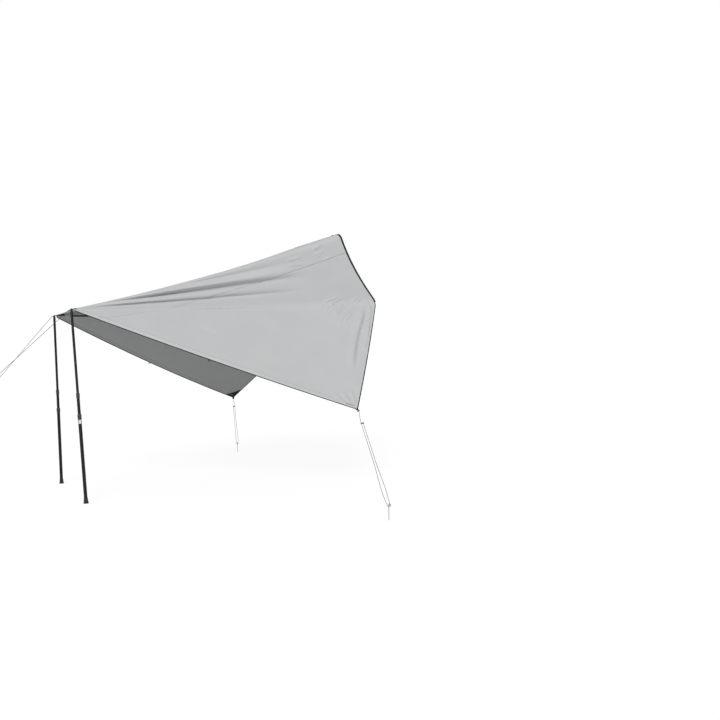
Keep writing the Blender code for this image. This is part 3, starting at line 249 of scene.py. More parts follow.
CHEEK_WRINKLES = (
    (0.013, 0.0065, ((2.25, 0.477), (2.35, 0.498), (2.44, 0.526))),
    (0.013, 0.0060, ((2.27, 0.429), (2.38, 0.434), (2.46, 0.444))),
    (0.014, 0.0070, ((2.55, 0.590), (2.63, 0.630), (2.69, 0.668))),
    (0.011, 0.0060, ((2.58, 0.544), (2.66, 0.567), (2.71, 0.600))),
    (0.009, 0.0045, ((2.61, 0.522), (2.68, 0.543))),
    (0.011, 0.0060, ((2.69, 0.492), (2.76, 0.512), (2.82, 0.535))),
    (0.045, 0.0080, ((1.72, 0.270), (2.03, 0.320), (2.39, 0.380))),
)
CREASE_LINES = (
    (0.014, 0.0040, ((0.66, 0.065), (1.08, 0.080), (1.42, 0.100), (1.62, 0.110))),
    (
        0.012,
        -0.0035,
        ((0.20, 0.010), (0.57, 0.030), (0.94, 0.050), (1.32, 0.070), (1.67, 0.090), (2.30, 0.100)),
    ),
    (0.022, -0.0045, ((1.04, -0.025), (1.47, -0.029), (1.73, -0.042), (2.10, -0.039))),
)
PACKING_CREASES = (
    (0.009, -0.0016, ((2.34, -0.480), (2.02, -0.560), (1.70, -0.610))),
    (0.009, 0.0018, ((1.66, -0.780), (2.03, -0.700), (2.46, -0.600))),
    (0.020, -0.0030, ((1.16, -0.300), (1.38, -0.430))),
    (0.009, -0.0015, ((0.98, -0.180), (1.12, -0.430))),
    (0.009, 0.0015, ((1.94, -0.250), (2.08, -0.900))),
)
WRINKLES = HOOP_FOOT_FAN + TENT_EDGE_FOLDS + WING_CORNER_PULLS
WRINKLES += CHEEK_WRINKLES + CREASE_LINES + PACKING_CREASES
WRINKLE_ENDS = (0.22, 0.30)
FAR_SHARE = 0.75
FAR_SHIFT = (-0.05, 0.02)
FAR_SKIPS_EVERY = 4
RIPPLE_HEIGHT = 0.0022
RIPPLE_ALONG = 0.42
RIPPLE_ACROSS = 0.11
RIPPLE_SEED = {"near": 3.7, "far": 41.2}
HEM_FOLD_HEIGHT = 0.0090
HEM_FOLD_WIDTH = 0.024
HEM_FOLD_STEP = 0.009
SEAM_DIP = 0.0045
SEAM_DIP_BELOW = 0.008
SEAM_DIP_WIDTH = 0.006
SEAM_DIP_GROWS = (0.30, 0.50)
EDGE_HOLD = 0.045
POLE_HOLD = (0.05, 0.20)
SLOPE_STEP = 1e-3
CLOTH_SHARP = 50.0


def on_side(side, s):
    """A place across the cloth, for one measured from the side's own hem."""
    return S_FAR_HEM - s if side == "far" else s


def sign_of(side):
    """The near side is as measured, and the far side mirrors it in Y."""
    return -1.0 if side == "far" else 1.0


def mirrored(point, side):
    """A near-side point on the side asked for."""
    return Vector((point[0], point[1] * sign_of(side), point[2]))


def bow(f):
    """A shallow arch that is 0 at both ends and 1 halfway."""
    return 4.0 * f * (1.0 - f)


def eased(f):
    """From 0 to 1 with soft ends."""
    f = np.clip(f, 0.0, 1.0)
    return f * f * (3.0 - 2.0 * f)


def unit(v):
    """Vectors of length one."""
    return v / np.linalg.norm(v, axis=-1, keepdims=True)


def half_cloth(s, t, hem_sag):
    """The near half with a sharp ridge and crease. s is 0 at the hem, t is 0 at the poles."""
    wing = np.clip(s / S_CREASE, 0.0, 1.0)
    cheek = np.clip((s - S_CREASE) / (S_RIDGE - S_CREASE), 0.0, 1.0)
    roof = np.clip((s - S_RIDGE) / (S_CENTRE - S_RIDGE), 0.0, 1.0)
    tent_end = WING_CORNER + wing[..., None] * (HOOP_FOOT - WING_CORNER)
    tent_end = tent_end + cheek[..., None] * (HOOP_CORNER - HOOP_FOOT)
    tent_end[..., 1] -= roof * HOOP_CORNER[1]
    tent_end[..., 0] += WING_EDGE_BOW * bow(wing) - HOOP_EDGE_PULL * bow(cheek)
    pole_end = np.broadcast_to(POLE_TOP, tent_end.shape).copy()
    pole_end[..., 1] -= roof * POLE_TOP[1]
    pole_end[..., 2] -= FRONT_SAG * (1.0 - (1.0 - roof) ** 2)
    sag = hem_sag + wing * (CREASE_SAG - hem_sag)
    sag = sag + cheek * (RIDGE_SAG - CREASE_SAG) + roof * (ROOF_SAG - RIDGE_SAG)
    point = pole_end + t[..., None] * (tent_end - pole_end)
    point[..., 2] -= sag * bow(t)
    return point


def fold_height(s, t):
    """How far the big folds stand off the cheek."""
    place_down = (S_RIDGE - s) / (S_RIDGE - S_CREASE)
    height = np.zeros_like(s)
    for line, bend, grows, fades, tall, deep, tuck_width in FOLDS:
        below = place_down - line + bend * (1.0 - t) ** 2
        roll = np.exp(-(((below + FOLD_ROLL_ABOVE) / FOLD_WIDTH) ** 2))
        least = TUCK_LEAST / (CHEEK_LENGTH * np.maximum(t, SEAM_START))
        tuck = np.exp(-((below / np.maximum(tuck_width, least)) ** 2))
        strength = eased((t - grows[0]) / (grows[1] - grows[0]))
        strength = strength * eased((fades[1] - t) / (fades[1] - fades[0]))
        height += strength * (tall * roll - deep * tuck)
    return height


def smooth_cloth(s, t):
    """The cloth with its folds, before its small wrinkles."""
    soft = np.minimum(CORNER_SOFTNESS, np.minimum(s, S_FAR_HEM - s))
    total = np.zeros(s.shape + (3,))
    for step in np.linspace(-1.0, 1.0, CORNER_STEPS):
        shifted = s + step * soft
        near = shifted <= S_CENTRE
        own = np.where(near, shifted, S_FAR_HEM - shifted)
        point = half_cloth(own, t, np.where(near, HEM_SAGS["near"], HEM_SAGS["far"]))
        point[..., 1] *= np.where(near, 1.0, -1.0)
        total += point / CORNER_STEPS
    near = s <= S_CENTRE
    fold = fold_height(np.where(near, s, S_FAR_HEM - s), t)
    total[..., 1] += np.where(near, -fold, fold)
    return total


CREASE_WAY = unit(HOOP_FOOT - POLE_TOP)
RIDGE_WAY = unit(HOOP_CORNER - POLE_TOP)


def along_and_off(point, way):
    """How far points lie from the pole top along a line, and how far off it."""
    reach = point - POLE_TOP
    along = reach @ way
    return along, np.sqrt(np.maximum((reach**2).sum(-1) - along**2, 0.0))


def laid_flat(point, s):
    """Places u along the crease and v across it, for points of the near half laid flat about it."""
    u, v = along_and_off(point, CREASE_WAY)
    ridge_u, ridge_off = along_and_off(HOOP_CORNER, CREASE_WAY)
    ridge = unit(np.array((ridge_u, ridge_off)))
    on, off = along_and_off(point, RIDGE_WAY)
    over_u = on * ridge[0] - off * ridge[1]
    over_v = on * ridge[1] + off * ridge[0]
    over = s > S_RIDGE
    return np.where(over, over_u, u), np.where(over, over_v, np.where(s < S_CREASE, -v, v))


def line_height(u, v, half_width, height, line):
    """The height of one wrinkle: a round section along a bent line, with soft ends."""
    spots = np.array(line)
    steps = np.diff(spots, axis=0)
    lengths = np.linalg.norm(steps, axis=1)
    nearest = np.full(u.shape, np.inf)
    place = np.zeros(u.shape)
    before = 0.0
    for start, step, length in zip(spots, steps, lengths):
        share = np.clip(((u - start[0]) * step[0] + (v - start[1]) * step[1]) / length**2, 0.0, 1.0)
        gap = np.hypot(u - start[0] - share * step[0], v - start[1] - share * step[1])
        closer = gap < nearest
        nearest = np.where(closer, gap, nearest)
        place = np.where(closer, before + share * length, place)
        before += length
    share = place / lengths.sum()
    ends = eased(share / WRINKLE_ENDS[0]) * eased((1.0 - share) / WRINKLE_ENDS[1])
    return height * ends * np.exp(-((nearest / half_width) ** 2))


def ripple(u, v, seed):
    """Slow uneven ripples that run out from the pole top."""
    reach = np.hypot(u, v)
    turned = np.arctan2(v, u) * np.maximum(reach, 1.0)
    places = np.stack((reach / RIPPLE_ALONG, turned / RIPPLE_ACROSS, np.full(u.shape, seed)), -1)
    heights = [noise.noise(Vector(p)) for p in places.reshape(-1, 3)]
    return RIPPLE_HEIGHT * np.array(heights).reshape(u.shape)


HEM_END = laid_flat(WING_CORNER, np.array(0.0))


def seam_place(t):
    """Where the roof panel's seam crosses: a set distance below the ridge, or the hem near the pole."""
    cheek = CHEEK_LENGTH * t
    on_cheek = S_RIDGE - SEAM_BELOW_RIDGE / cheek * (S_RIDGE - S_CREASE)
    on_wing = S_CREASE * (1.0 - (SEAM_BELOW_RIDGE - cheek) / (WING_LENGTH * t))
    return np.where(SEAM_BELOW_RIDGE <= cheek, on_cheek, np.maximum(on_wing, 0.0))


def relief(s, t, point):
    """How far wrinkles, ripples, the pulled-in seam and the turned-up hem stand off the smooth cloth."""
    height = np.zeros(s.shape)
    for side in SIDES:
        here = s <= S_CENTRE if side == "near" else s > S_CENTRE
        if not here.any():
            continue
        own = s[here] if side == "near" else S_FAR_HEM - s[here]
        flat_point = point[here] * np.array((1.0, sign_of(side), 1.0))
        u, v = laid_flat(flat_point, own)
        total = ripple(u, v, RIPPLE_SEED[side])
        for k, (half_width, tall, line) in enumerate(WRINKLES):
            if side == "near":
                total += line_height(u, v, half_width, tall, line)
            elif k % FAR_SKIPS_EVERY:
                total += FAR_SHARE * line_height(u - FAR_SHIFT[0], v - FAR_SHIFT[1], half_width, tall, line)
        up_cheek = CHEEK_LENGTH * t[here] / (S_RIDGE - S_CREASE)
        from_seam = (own - seam_place(np.maximum(t[here], SEAM_START))) * up_cheek + SEAM_DIP_BELOW
        pulled_in = eased((t[here] - SEAM_DIP_GROWS[0]) / (SEAM_DIP_GROWS[1] - SEAM_DIP_GROWS[0]))
        total -= SEAM_DIP * pulled_in * np.exp(-((from_seam / SEAM_DIP_WIDTH) ** 2))
        from_hem = (HEM_END[0] * v - HEM_END[1] * u) / np.hypot(*HEM_END)
        reach = np.hypot(u, v)
        ends = eased((1.0 - t[here]) * reach / EDGE_HOLD)
        ends = ends * eased((reach - POLE_HOLD[0]) / (POLE_HOLD[1] - POLE_HOLD[0]))
        turned_up = np.clip(from_hem / HEM_FOLD_WIDTH, 0.0, 1.0)
        past = np.maximum(from_hem - HEM_FOLD_WIDTH, 0.0) / HEM_FOLD_STEP
        total = total * eased(from_hem / EDGE_HOLD) + HEM_FOLD_HEIGHT * turned_up * np.exp(-(past**2))
        height[here] = total * ends
    return height


def cloth(s, t):
    """Point, direction towards the tent, direction across and outward normal of the finished cloth."""
    s, t = np.broadcast_arrays(np.asarray(s, float), np.asarray(t, float))
    ahead = smooth_cloth(s, np.minimum(t + SLOPE_STEP, 1.0))
    along = unit(ahead - smooth_cloth(s, np.maximum(t - SLOPE_STEP, 0.0)))
    right = smooth_cloth(np.minimum(s + SLOPE_STEP, S_FAR_HEM), t)
    across = unit(right - smooth_cloth(np.maximum(s - SLOPE_STEP, 0.0), t))
    normal = unit(np.cross(along, across))
    point = smooth_cloth(s, t)
    return point + normal * relief(s, t, point)[..., None], along, across, normal


def graded(places, spacings):
    """Places from the first to the last of those given, spaced as the values given there say."""
    fine = np.linspace(places[0], places[-1], 4001)
    rate = 1.0 / np.interp(fine, places, spacings)
    total = np.concatenate(([0.0], np.cumsum((rate[1:] + rate[:-1]) / 2.0 * np.diff(fine))))
    return np.interp(np.linspace(0.0, total[-1], int(round(total[-1])) + 1), total, fine)


def set_flat_map(mesh, corner_places):
    """The map of a piece laid flat, in metres, one place for each face corner."""
    layer = mesh.uv_layers.new(name="laid_flat")
    layer.data.foreach_set("uv", np.asarray(corner_places, np.float32).ravel())


def softened(mesh, angle):
    """A smooth mesh whose edges stay sharp where they turn by more than an angle."""
    mesh.shade_smooth()
    mesh.set_sharp_from_angle(angle=math.radians(angle))
    return mesh


def sewn_panel(name, s, t, flat, thickness, outside, inside, lift=0.0):
    """A panel of cloth with its own thickness, from a grid of places on the cloth and on its flat map."""
    if s[0, 0] > s[0, -1]:
        s, t, flat = s[:, ::-1], t[:, ::-1], flat[:, ::-1]
    rows, columns = s.shape
    point, _, _, normal = cloth(s, t)
    skins = [point + normal * (lift + half) for half in (thickness / 2.0, -thickness / 2.0)]
    index = np.arange(rows * columns).reshape(rows, columns)
    corners = (index[:-1, :-1], index[1:, :-1], index[1:, 1:], index[:-1, 1:])
    outer = np.stack(corners, -1).reshape(-1, 4)
    inner = outer[:, (0, 3, 2, 1)] + rows * columns
    edge = np.concatenate((index[0, :-1], index[:-1, -1], index[-1, :0:-1], index[:0:-1, 0]))
    onward = np.roll(edge, -1)
    rim = np.stack((edge, onward, onward + rows * columns, edge + rows * columns), -1)
    faces = np.concatenate((outer, inner, rim))
    mesh = bpy.data.meshes.new(name)
    mesh.from_pydata(np.concatenate(skins).reshape(-1, 3).tolist(), [], faces.tolist())
    set_flat_map(mesh, np.concatenate((flat.reshape(-1, 2),) * 2)[faces.ravel()])
    mesh.materials.append(outside)
    mesh.materials.append(inside)
    kinds = np.zeros(len(faces), np.int32)
    kinds[len(outer) : len(outer) + len(inner)] = 1
    mesh.polygons.foreach_set("material_index", kinds)
    return softened(mesh, CLOTH_SHARP)


def fixed(name, mesh, finish, body, slot, *replaced, at=None):
    """A finished piece in its place: its material, its body and the solids it stands for; its slot is not
    used.
    """
    if at is not None:
        mesh.transform(at)
    if not mesh.materials:
        mesh.materials.append(finish)
    made = place(name, mesh)
    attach(made, body)
    if replaced:
        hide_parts(*replaced)
    return made


def shader_group(name, inputs, outputs):
    """A new shader node group with named sockets, and the nodes at its two ends."""
    tree = bpy.data.node_groups.new(name, "ShaderNodeTree")
    for socket, kind, value in inputs:
        made = tree.interface.new_socket(socket, in_out="INPUT", socket_type="NodeSocket" + kind)
        if value is not None:
            made.default_value = value
    for socket in outputs:
        tree.interface.new_socket(socket, in_out="OUTPUT", socket_type="NodeSocketFloat")
    return tree, add(tree, "NodeGroupInput"), add(tree, "NodeGroupOutput")


def half_wave(tree, value):
    """A row of rounded humps, one for each whole number, each from 0 up to 1 and back."""
    turn = calculate(tree, "MULTIPLY", calculate(tree, "FRACT", value), math.pi)
    return calculate(tree, "SINE", turn)


def weave_group():
    """Threads that cross over and under each other, from a place in metres and the threads' pitches."""
    pitches = (("Warp Pitch", "Float", 0.0006), ("Weft Pitch", "Float", 0.0006))
    sockets = (("Place", "Vector", None),) + pitches
    tree, start, end = shader_group("crossed_threads", sockets, ("Height", "Thread"))
    parts = add(tree, "ShaderNodeSeparateXYZ")
    feed(tree, parts.inputs[0], start.outputs["Place"])
    across = calculate(tree, "DIVIDE", parts.outputs["X"], start.outputs["Warp Pitch"])
    along = calculate(tree, "DIVIDE", parts.outputs["Y"], start.outputs["Weft Pitch"])
    warp, weft = half_wave(tree, across), half_wave(tree, along)
    cells = calculate(tree, "ADD", calculate(tree, "FLOOR", across), calculate(tree, "FLOOR", along))
    over = calculate(tree, "FLOORED_MODULO", cells, 2.0)
    warp_up = calculate(tree, "MULTIPLY", warp, calculate(tree, "MULTIPLY_ADD", weft, 0.5, 0.5))
    weft_up = calculate(tree, "MULTIPLY", weft, calculate(tree, "MULTIPLY_ADD", warp, 0.5, 0.5))
    mixed = add(tree, "ShaderNodeMix", data_type="FLOAT")
    for socket, value in ((0, over), (2, weft_up), (3, warp_up)):
        feed(tree, mixed.inputs[socket], value)
    fill(tree, end, Height=mixed.outputs[0], Thread=over)
    return tree


def patchy_group():
    """Slow uneven patches of tone, about 0.5 on average, for dirt, fading and handling."""
    amounts = (("Patches Per Metre", "Float", 3.0), ("Contrast", "Float", 1.0))
    tree, start, end = shader_group("uneven_tone", (("Place", "Vector", None),) + amounts, ("Tone",))
    patches = add(tree, "ShaderNodeTexNoise")
    scale = start.outputs["Patches Per Metre"]
    fill(tree, patches, Vector=start.outputs["Place"], Scale=scale, Detail=4.0, Roughness=0.6)
    away = calculate(tree, "SUBTRACT", patches.outputs[0], 0.5)
    fill(tree, end, Tone=calculate(tree, "MULTIPLY_ADD", away, start.outputs["Contrast"], 0.5))
    return tree


CROSSED_THREADS = weave_group()
UNEVEN_TONE = patchy_group()


def woven_height(tree, where, warp, weft):
    """The height and the thread of a weave, from a place and its two pitches in metres."""
    node = add(tree, "ShaderNodeGroup", node_tree=CROSSED_THREADS)
    fill(tree, node, Place=where, Warp_Pitch=warp, Weft_Pitch=weft)
    return node.outputs["Height"], node.outputs["Thread"]


def uneven(tree, where, patches=1.0, contrast=1.0):
    """An uneven tone, from a place, its patches in a metre and its contrast."""
    node = add(tree, "ShaderNodeGroup", node_tree=UNEVEN_TONE)
    return fill(tree, node, Place=where, Patches_Per_Metre=patches, Contrast=contrast).outputs["Tone"]


def mapped(tree, where, **values):
    """A place that is scaled or turned."""
    return fill(tree, add(tree, "ShaderNodeMapping"), Vector=where, **values).outputs[0]


def new_finish(name):
    """A new material, its tree and its shader."""
    made = bpy.data.materials.new(name)
    made.use_nodes = True
    return made, made.node_tree, made.node_tree.nodes["Principled BSDF"]


def flat_place(tree):
    """The place on the piece laid flat, in metres."""
    return add(tree, "ShaderNodeUVMap", uv_map="laid_flat").outputs[0]


def object_place(tree):
    """The place on the piece in metres, in the awning's own frame."""
    return add(tree, "ShaderNodeTexCoord").outputs["Object"]


def summed(tree, *tones):
    """The sum of tones, each times its share."""
    total = 0.0
    for tone, share in tones:
        total = calculate(tree, "MULTIPLY_ADD", tone, share, total)
    return total


def toned(tree, dark, light, tone):
    """A colour between two, by a tone from 0 to 1."""
    mixed = add(tree, "ShaderNodeMix", data_type="RGBA", clamp_factor=True)
    for socket, value in ((0, tone), (6, (*dark, 1.0)), (7, (*light, 1.0))):
        feed(tree, mixed.inputs[socket], value)
    return mixed.outputs[2]


def ranged(tree, value, low, high):
    """A value from 0 to 1 spread between two numbers."""
    spread = add(tree, "ShaderNodeMapRange", clamp=True)
    return fill(tree, spread, Value=value, To_Min=low, To_Max=high).outputs[0]


def around(tree, value, middle, reach):
    """A value from 0 to 1 spread evenly about a number."""
    return ranged(tree, value, middle - reach, middle + reach)


def bumped(tree, height, distance, strength=1.0, **below):
    """The normal of a surface with a height, over another bump's normal where there is one."""
    bump = add(tree, "ShaderNodeBump")
    fill(tree, bump, Strength=strength, Distance=distance, Height=height, **below)
    return bump.outputs[0]


def cloth_finish(name, dark, light, roughness, weave_depth):
    """Coated polyester with a plain weave, thick threads here and there, and slightly uneven tone."""
    made, tree, shader = new_finish(name)
    flat = flat_place(tree)
    height, thread = woven_height(tree, flat, warp=0.00062, weft=0.00070)
    slow = uneven(tree, flat, patches=2.2)
    slubs = uneven(tree, mapped(tree, flat, Scale=(14.0, 900.0, 1.0)), contrast=1.6)
    tone = summed(tree, (slubs, 0.25), (slow, 0.60), (thread, 0.15))
    crumpled = bumped(tree, uneven(tree, flat, patches=26.0), distance=0.0016, strength=0.5)
    fill(
        tree,
        shader,
        Base_Color=toned(tree, dark, light, tone),
        Roughness=around(tree, slow, roughness, -0.06),
        Sheen_Weight=0.12,
        Sheen_Roughness=0.5,
        Specular_IOR_Level=0.35,
        Normal=bumped(tree, height, weave_depth, strength=0.45, Normal=crumpled),
    )
    return made


OUTSIDE = cloth_finish("grey_cloth_outside", (0.490, 0.500, 0.504), (0.575, 0.587, 0.592), 0.72, 0.00012)
# The inside is the same cloth in a darker grey: partly its darker coating, partly painted shade of the
# underside.
INSIDE_PAINTED_SHADE = cloth_finish("grey_cloth_inside_painted_shade", (0.372, 0.380, 0.378), (0.424, 0.433, 0.431), 0.55, 0.00008)

ROOF_ROWS = graded((FRONT_START, 0.05, 0.7, 1.0), (0.0045, 0.0065, 0.0060, 0.0045))
ROOF_CHEEK = graded((0.0, 1.0), (0.021, 0.021))
ROOF_TOP = graded((0.0, 0.2, 1.0), (0.016, 0.034, 0.034))
ROOF_SLOPE = unit(HOOP_CORNER - POLE_TOP - np.array((0.0, HOOP_CORNER[1] - POLE_TOP[1], 0.0)))


def roof_columns(t):
    """Places across the roof panel, from its near seam to its far one."""
    start = seam_place(t)
    on_cheek = start + ROOF_CHEEK * (S_RIDGE - start)
    half = np.concatenate((on_cheek, S_RIDGE + ROOF_TOP[1:] * (S_CENTRE - S_RIDGE)))
    return np.concatenate((half, (S_FAR_HEM - half[:-1])[::-1]))


def roof_flat(s, t):
    """The roof panel laid flat about its ridges: along its slope, and across from its middle."""
    point = smooth_cloth(s, t)
    near = s <= S_CENTRE
    point = point * np.stack((np.ones(s.shape), np.where(near, 1.0, -1.0), np.ones(s.shape)), -1)
    on, off = along_and_off(point, RIDGE_WAY)
    way = np.array((RIDGE_WAY @ ROOF_SLOPE, RIDGE_WAY[1]))
    down = np.where(near, s, S_FAR_HEM - s) < S_RIDGE
    off = np.where(down, off, -off)
    u = on * way[0] + off * way[1]
    v = (POLE_TOP[1] + on * way[1] - off * way[0]) * np.where(near, 1.0, -1.0)
    return np.stack((u, v), -1)


roof_s = np.array([roof_columns(np.array(t)) for t in ROOF_ROWS])
roof_t = np.broadcast_to(ROOF_ROWS[:, None], roof_s.shape)
roof_mesh = sewn_panel(
    "roof_panel", roof_s, roof_t, roof_flat(roof_s, roof_t), CLOTH_THICKNESS, OUTSIDE, INSIDE_PAINTED_SHADE
)
roof_panel = fixed("roof_panel", roof_mesh, OUTSIDE, "canopy", "awning_cloth", "canopy_roof")


# Wings: the lower part of each cheek and the drooping wing in one piece, felled to the roof panel and
# folded over the crease between the pole top and the hoop's foot.
WING_ROWS = graded((SEAM_START * 1.015, 0.70, 0.78, 1.0), (0.0060, 0.0056, 0.0027, 0.0026))
WING_COLUMN_PLACES = (0.0, 0.52, 0.58, 0.86, 0.92, 0.980, 0.986, 1.0)
WING_COLUMN_STEPS = (0.0080, 0.0072, 0.0034, 0.0034, 0.0072, 0.0072, 0.0012, 0.0012)
WING_COLUMNS = graded(WING_COLUMN_PLACES, WING_COLUMN_STEPS)

for side in SIDES:
    own_s = WING_COLUMNS[None, :] * seam_place(WING_ROWS)[:, None]
    wing_s = on_side(side, own_s)
    wing_t = np.broadcast_to(WING_ROWS[:, None], wing_s.shape)
    point = smooth_cloth(wing_s, wing_t) * np.array((1.0, sign_of(side), 1.0))
    flat = np.stack(laid_flat(point, own_s), -1)
    wing_mesh = sewn_panel("wing_panel", wing_s, wing_t, flat, CLOTH_THICKNESS, OUTSIDE, INSIDE_PAINTED_SHADE)
    fixed(
        side + "_wing_panel", wing_mesh, OUTSIDE, "canopy", "awning_cloth", "canopy_wing_" + side
    )


# Hem tapes: black polyester tape folded over both long hems and sewn through, with a slotted loop of the
# same webbing sewn into the middle of each for a spare guy.
SEAM_GAP = 0.0003
HEM_TAPE_SHOWN = 0.0085
HEM_THICKNESS = 0.0024
HEM_LAP = 0.0025
HEM_LOOP_SIZE = (0.024, 0.020)
HEM_LOOP_SLOT = (0.015, 0.010)
HEM_LOOP_THICKNESS = 0.0018
HEM_LOOP_LAP = 0.0015
HEM_LOOP_ALONG = 0.477
EDGE_ROWS = graded((FRONT_START, 1.0), (0.0055, 0.0055))
TAPE_ROUNDING = 0.0011
LOOP_ROUNDING = 0.0006
LOOP_TURNS = 40
LOOP_SQUARENESS = 0.5
BLACK = (0.010, 0.010, 0.011)
BLACK_WORN = (0.020, 0.020, 0.021)


def webbing_finish(name, warp_pitch, weft_pitch, depth):
    """Black woven tape with a clear cross rib, a little faded along its high threads."""
    made, tree, shader = new_finish(name)
    flat = flat_place(tree)
    height, _ = woven_height(tree, flat, warp_pitch, weft_pitch)
    patches = uneven(tree, flat, patches=40.0, contrast=1.3)
    tone = calculate(tree, "MULTIPLY", height, patches)
    fill(
        tree,
        shader,
        Base_Color=toned(tree, BLACK, BLACK_WORN, tone),
        Roughness=ranged(tree, patches, low=0.72, high=0.88),
        Specular_IOR_Level=0.3,
        Normal=bumped(tree, height, depth, strength=0.8),
    )
    return made


TAPE = webbing_finish("black_binding_tape", 0.0009, 0.0007, 0.0003)
WEBBING = webbing_finish("black_webbing", 0.0016, 0.0011, 0.0005)


def arc(centre, radius, start, stop, count):
    """Points on an arc, between two angles in degrees."""
    angles = [math.radians(start + (stop - start) * k / count) for k in range(count + 1)]
    return [(centre[0] + radius * math.cos(a), centre[1] + radius * math.sin(a)) for a in angles]


def band_outline(inner, outer, thickness, rounding, lift=0.0):
    """The outline of a flat band with rounded edges, as distances outwards and upwards."""
    half = thickness / 2.0 - rounding
    outline = []
    for x, up, start in (
        (outer - rounding, -half, -90.0),
        (outer - rounding, half, 0.0),
        (inner + rounding, half, 90.0),
        (inner + rounding, -half, 180.0),
    ):
        outline += arc((x, up + lift), rounding, start, start + 90.0, 3)
    return outline


def sewn_band(name, path, outward, up, outline):
    """A mesh with one outline swept along a path, with its map in metres along and around."""
    path, outward, up = (np.asarray(v, float) for v in (path, outward, up))
    outline = np.array(outline)
    rows = len(path)
    count = len(outline)
    points = path[:, None] + outward[:, None] * outline[None, :, :1] + up[:, None] * outline[None, :, 1:]
    run = np.concatenate(([0.0], np.cumsum(np.linalg.norm(np.diff(path, axis=0), axis=1))))
    around = np.concatenate(([0.0], np.cumsum(np.linalg.norm(np.roll(outline, -1, 0) - outline, axis=1))))
    faces = []
    flat = []
    for i in range(rows - 1):
        for k in range(count):
            n = (k + 1) % count
            faces.append((i * count + k, i * count + n, (i + 1) * count + n, (i + 1) * count + k))
            flat += [(run[i], around[k]), (run[i], around[k + 1])]
            flat += [(run[i + 1], around[k + 1]), (run[i + 1], around[k])]
    for row, order in ((0, range(count - 1, -1, -1)), (rows - 1, range(count))):
        faces.append([row * count + k for k in order])
        flat += [tuple(outline[k]) for k in order]
    mesh = bpy.data.meshes.new(name)
    mesh.from_pydata(points.reshape(-1, 3).tolist(), [], faces)
    set_flat_map(mesh, flat)
    volume = bmesh.new()
    volume.from_mesh(mesh)
    if volume.calc_volume(signed=True) < 0.0:
        bmesh.ops.reverse_faces(volume, faces=volume.faces)
        volume.to_mesh(mesh)
    volume.free()
    return softened(mesh, CLOTH_SHARP)


def joined(name, meshes):
    """Several meshes of one finish as one mesh."""
    pool = bmesh.new()
    for mesh in meshes:
        pool.from_mesh(mesh)
    made = bpy.data.meshes.new(name)
    pool.to_mesh(made)
    pool.free()
    return softened(made, CLOTH_SHARP)


def hem_edge(side, t):
    """A hem's edge: its points, the way out of the cloth, the way along and the outward normal."""
    point, along, across, normal = cloth(np.full(t.shape, on_side(side, 0.0)), t)
    return point, -across * sign_of(side), along, normal


def webbing_loop(side):
    """The slotted loop: a flat ring of webbing that hangs from the hem."""
    width, height = HEM_LOOP_SIZE
    slot_width, slot_height = HEM_LOOP_SLOT
    rim = (height - slot_height) / 2.0
    band = (width - slot_width) / 2.0
    reach = HEM_TAPE_SHOWN + height / 2.0 - HEM_LOOP_LAP
    centre, out, along, up = (v[0] for v in hem_edge(side, np.array([HEM_LOOP_ALONG])))
    middle = centre + out * reach
    path, outward = [], []
    for k in range(LOOP_TURNS + 1):
        angle = 2.0 * math.pi * k / LOOP_TURNS
        x, y = (
            math.copysign(abs(share) ** LOOP_SQUARENESS, share) * span / 2.0
            for share, span in ((math.cos(angle), width - band), (math.sin(angle), height - rim))
        )
        path.append(middle + along * x + out * y)
        outward.append(unit(along * math.cos(angle) + out * math.sin(angle)))
    outline = band_outline(-rim / 2.0, rim / 2.0, HEM_LOOP_THICKNESS, LOOP_ROUNDING)
    return sewn_band("webbing_loop", path, outward, [up] * len(path), outline)


HEM_OUTLINE = band_outline(-HEM_LAP, HEM_TAPE_SHOWN, HEM_THICKNESS, TAPE_ROUNDING)
hem_edges = {side: hem_edge(side, EDGE_ROWS) for side in SIDES}
for side, (point, out, along, normal) in hem_edges.items():
    tape = sewn_band("hem_tape", point, out, normal, HEM_OUTLINE)
    name = side + "_hem_tape"
    mesh = joined(name, (tape, webbing_loop(side)))
    fixed(name, mesh, TAPE, "canopy", "webbing", "hem_webbing_" + side)


# Tent edge bindings: the same tape round the slanting edge of each wing, from its corner up to the
# hoop's foot, where the zip takes over.
EDGE_PLACES = graded((0.0, S_CREASE), (0.0045, 0.0045))
tent_edges = {side: cloth(on_side(side, EDGE_PLACES), np.ones(EDGE_PLACES.shape)) for side in SIDES}
for side, (point, along, across, normal) in tent_edges.items():
    name = side + "_edge_binding"
    binding = sewn_band(name, point, along, normal, HEM_OUTLINE)
    fixed(name, binding, TAPE, "canopy", "webbing", "tent_edge_binding_" + side)


# Felled seams: the roof panel's edge folded over the wing's and sewn down flat with two rows of grey
# thread. The fold stands a little proud of the cloth on its outer side.
SEAM_WIDTH = 0.011
SEAM_THICKNESS = 0.0018
SEAM_LIFT = 0.0013
SEAM_DOWN_SHARE = 0.25
STITCH_ROW_IN = 0.0018
SEAM_ROUNDING = 0.0005
SEAM_ROWS = graded((SEAM_START * 1.02, 0.999), (0.0040, 0.0040))
SEAM_EDGES = (-SEAM_WIDTH * (1.0 - SEAM_DOWN_SHARE), SEAM_WIDTH * SEAM_DOWN_SHARE)

seams = {}
felled_seams = {}
for side in SIDES:
    point, along, across, normal = cloth(on_side(side, seam_place(SEAM_ROWS)), SEAM_ROWS)
    seams[side] = (point, unit(np.cross(normal, along)) * -sign_of(side), normal)
    name = side + "_felled_seam"
    fold = sewn_band(name, *seams[side], band_outline(*SEAM_EDGES, SEAM_THICKNESS, SEAM_ROUNDING, SEAM_LIFT))
    felled_seams[side] = fixed(name, fold, OUTSIDE, "canopy", "awning_cloth")


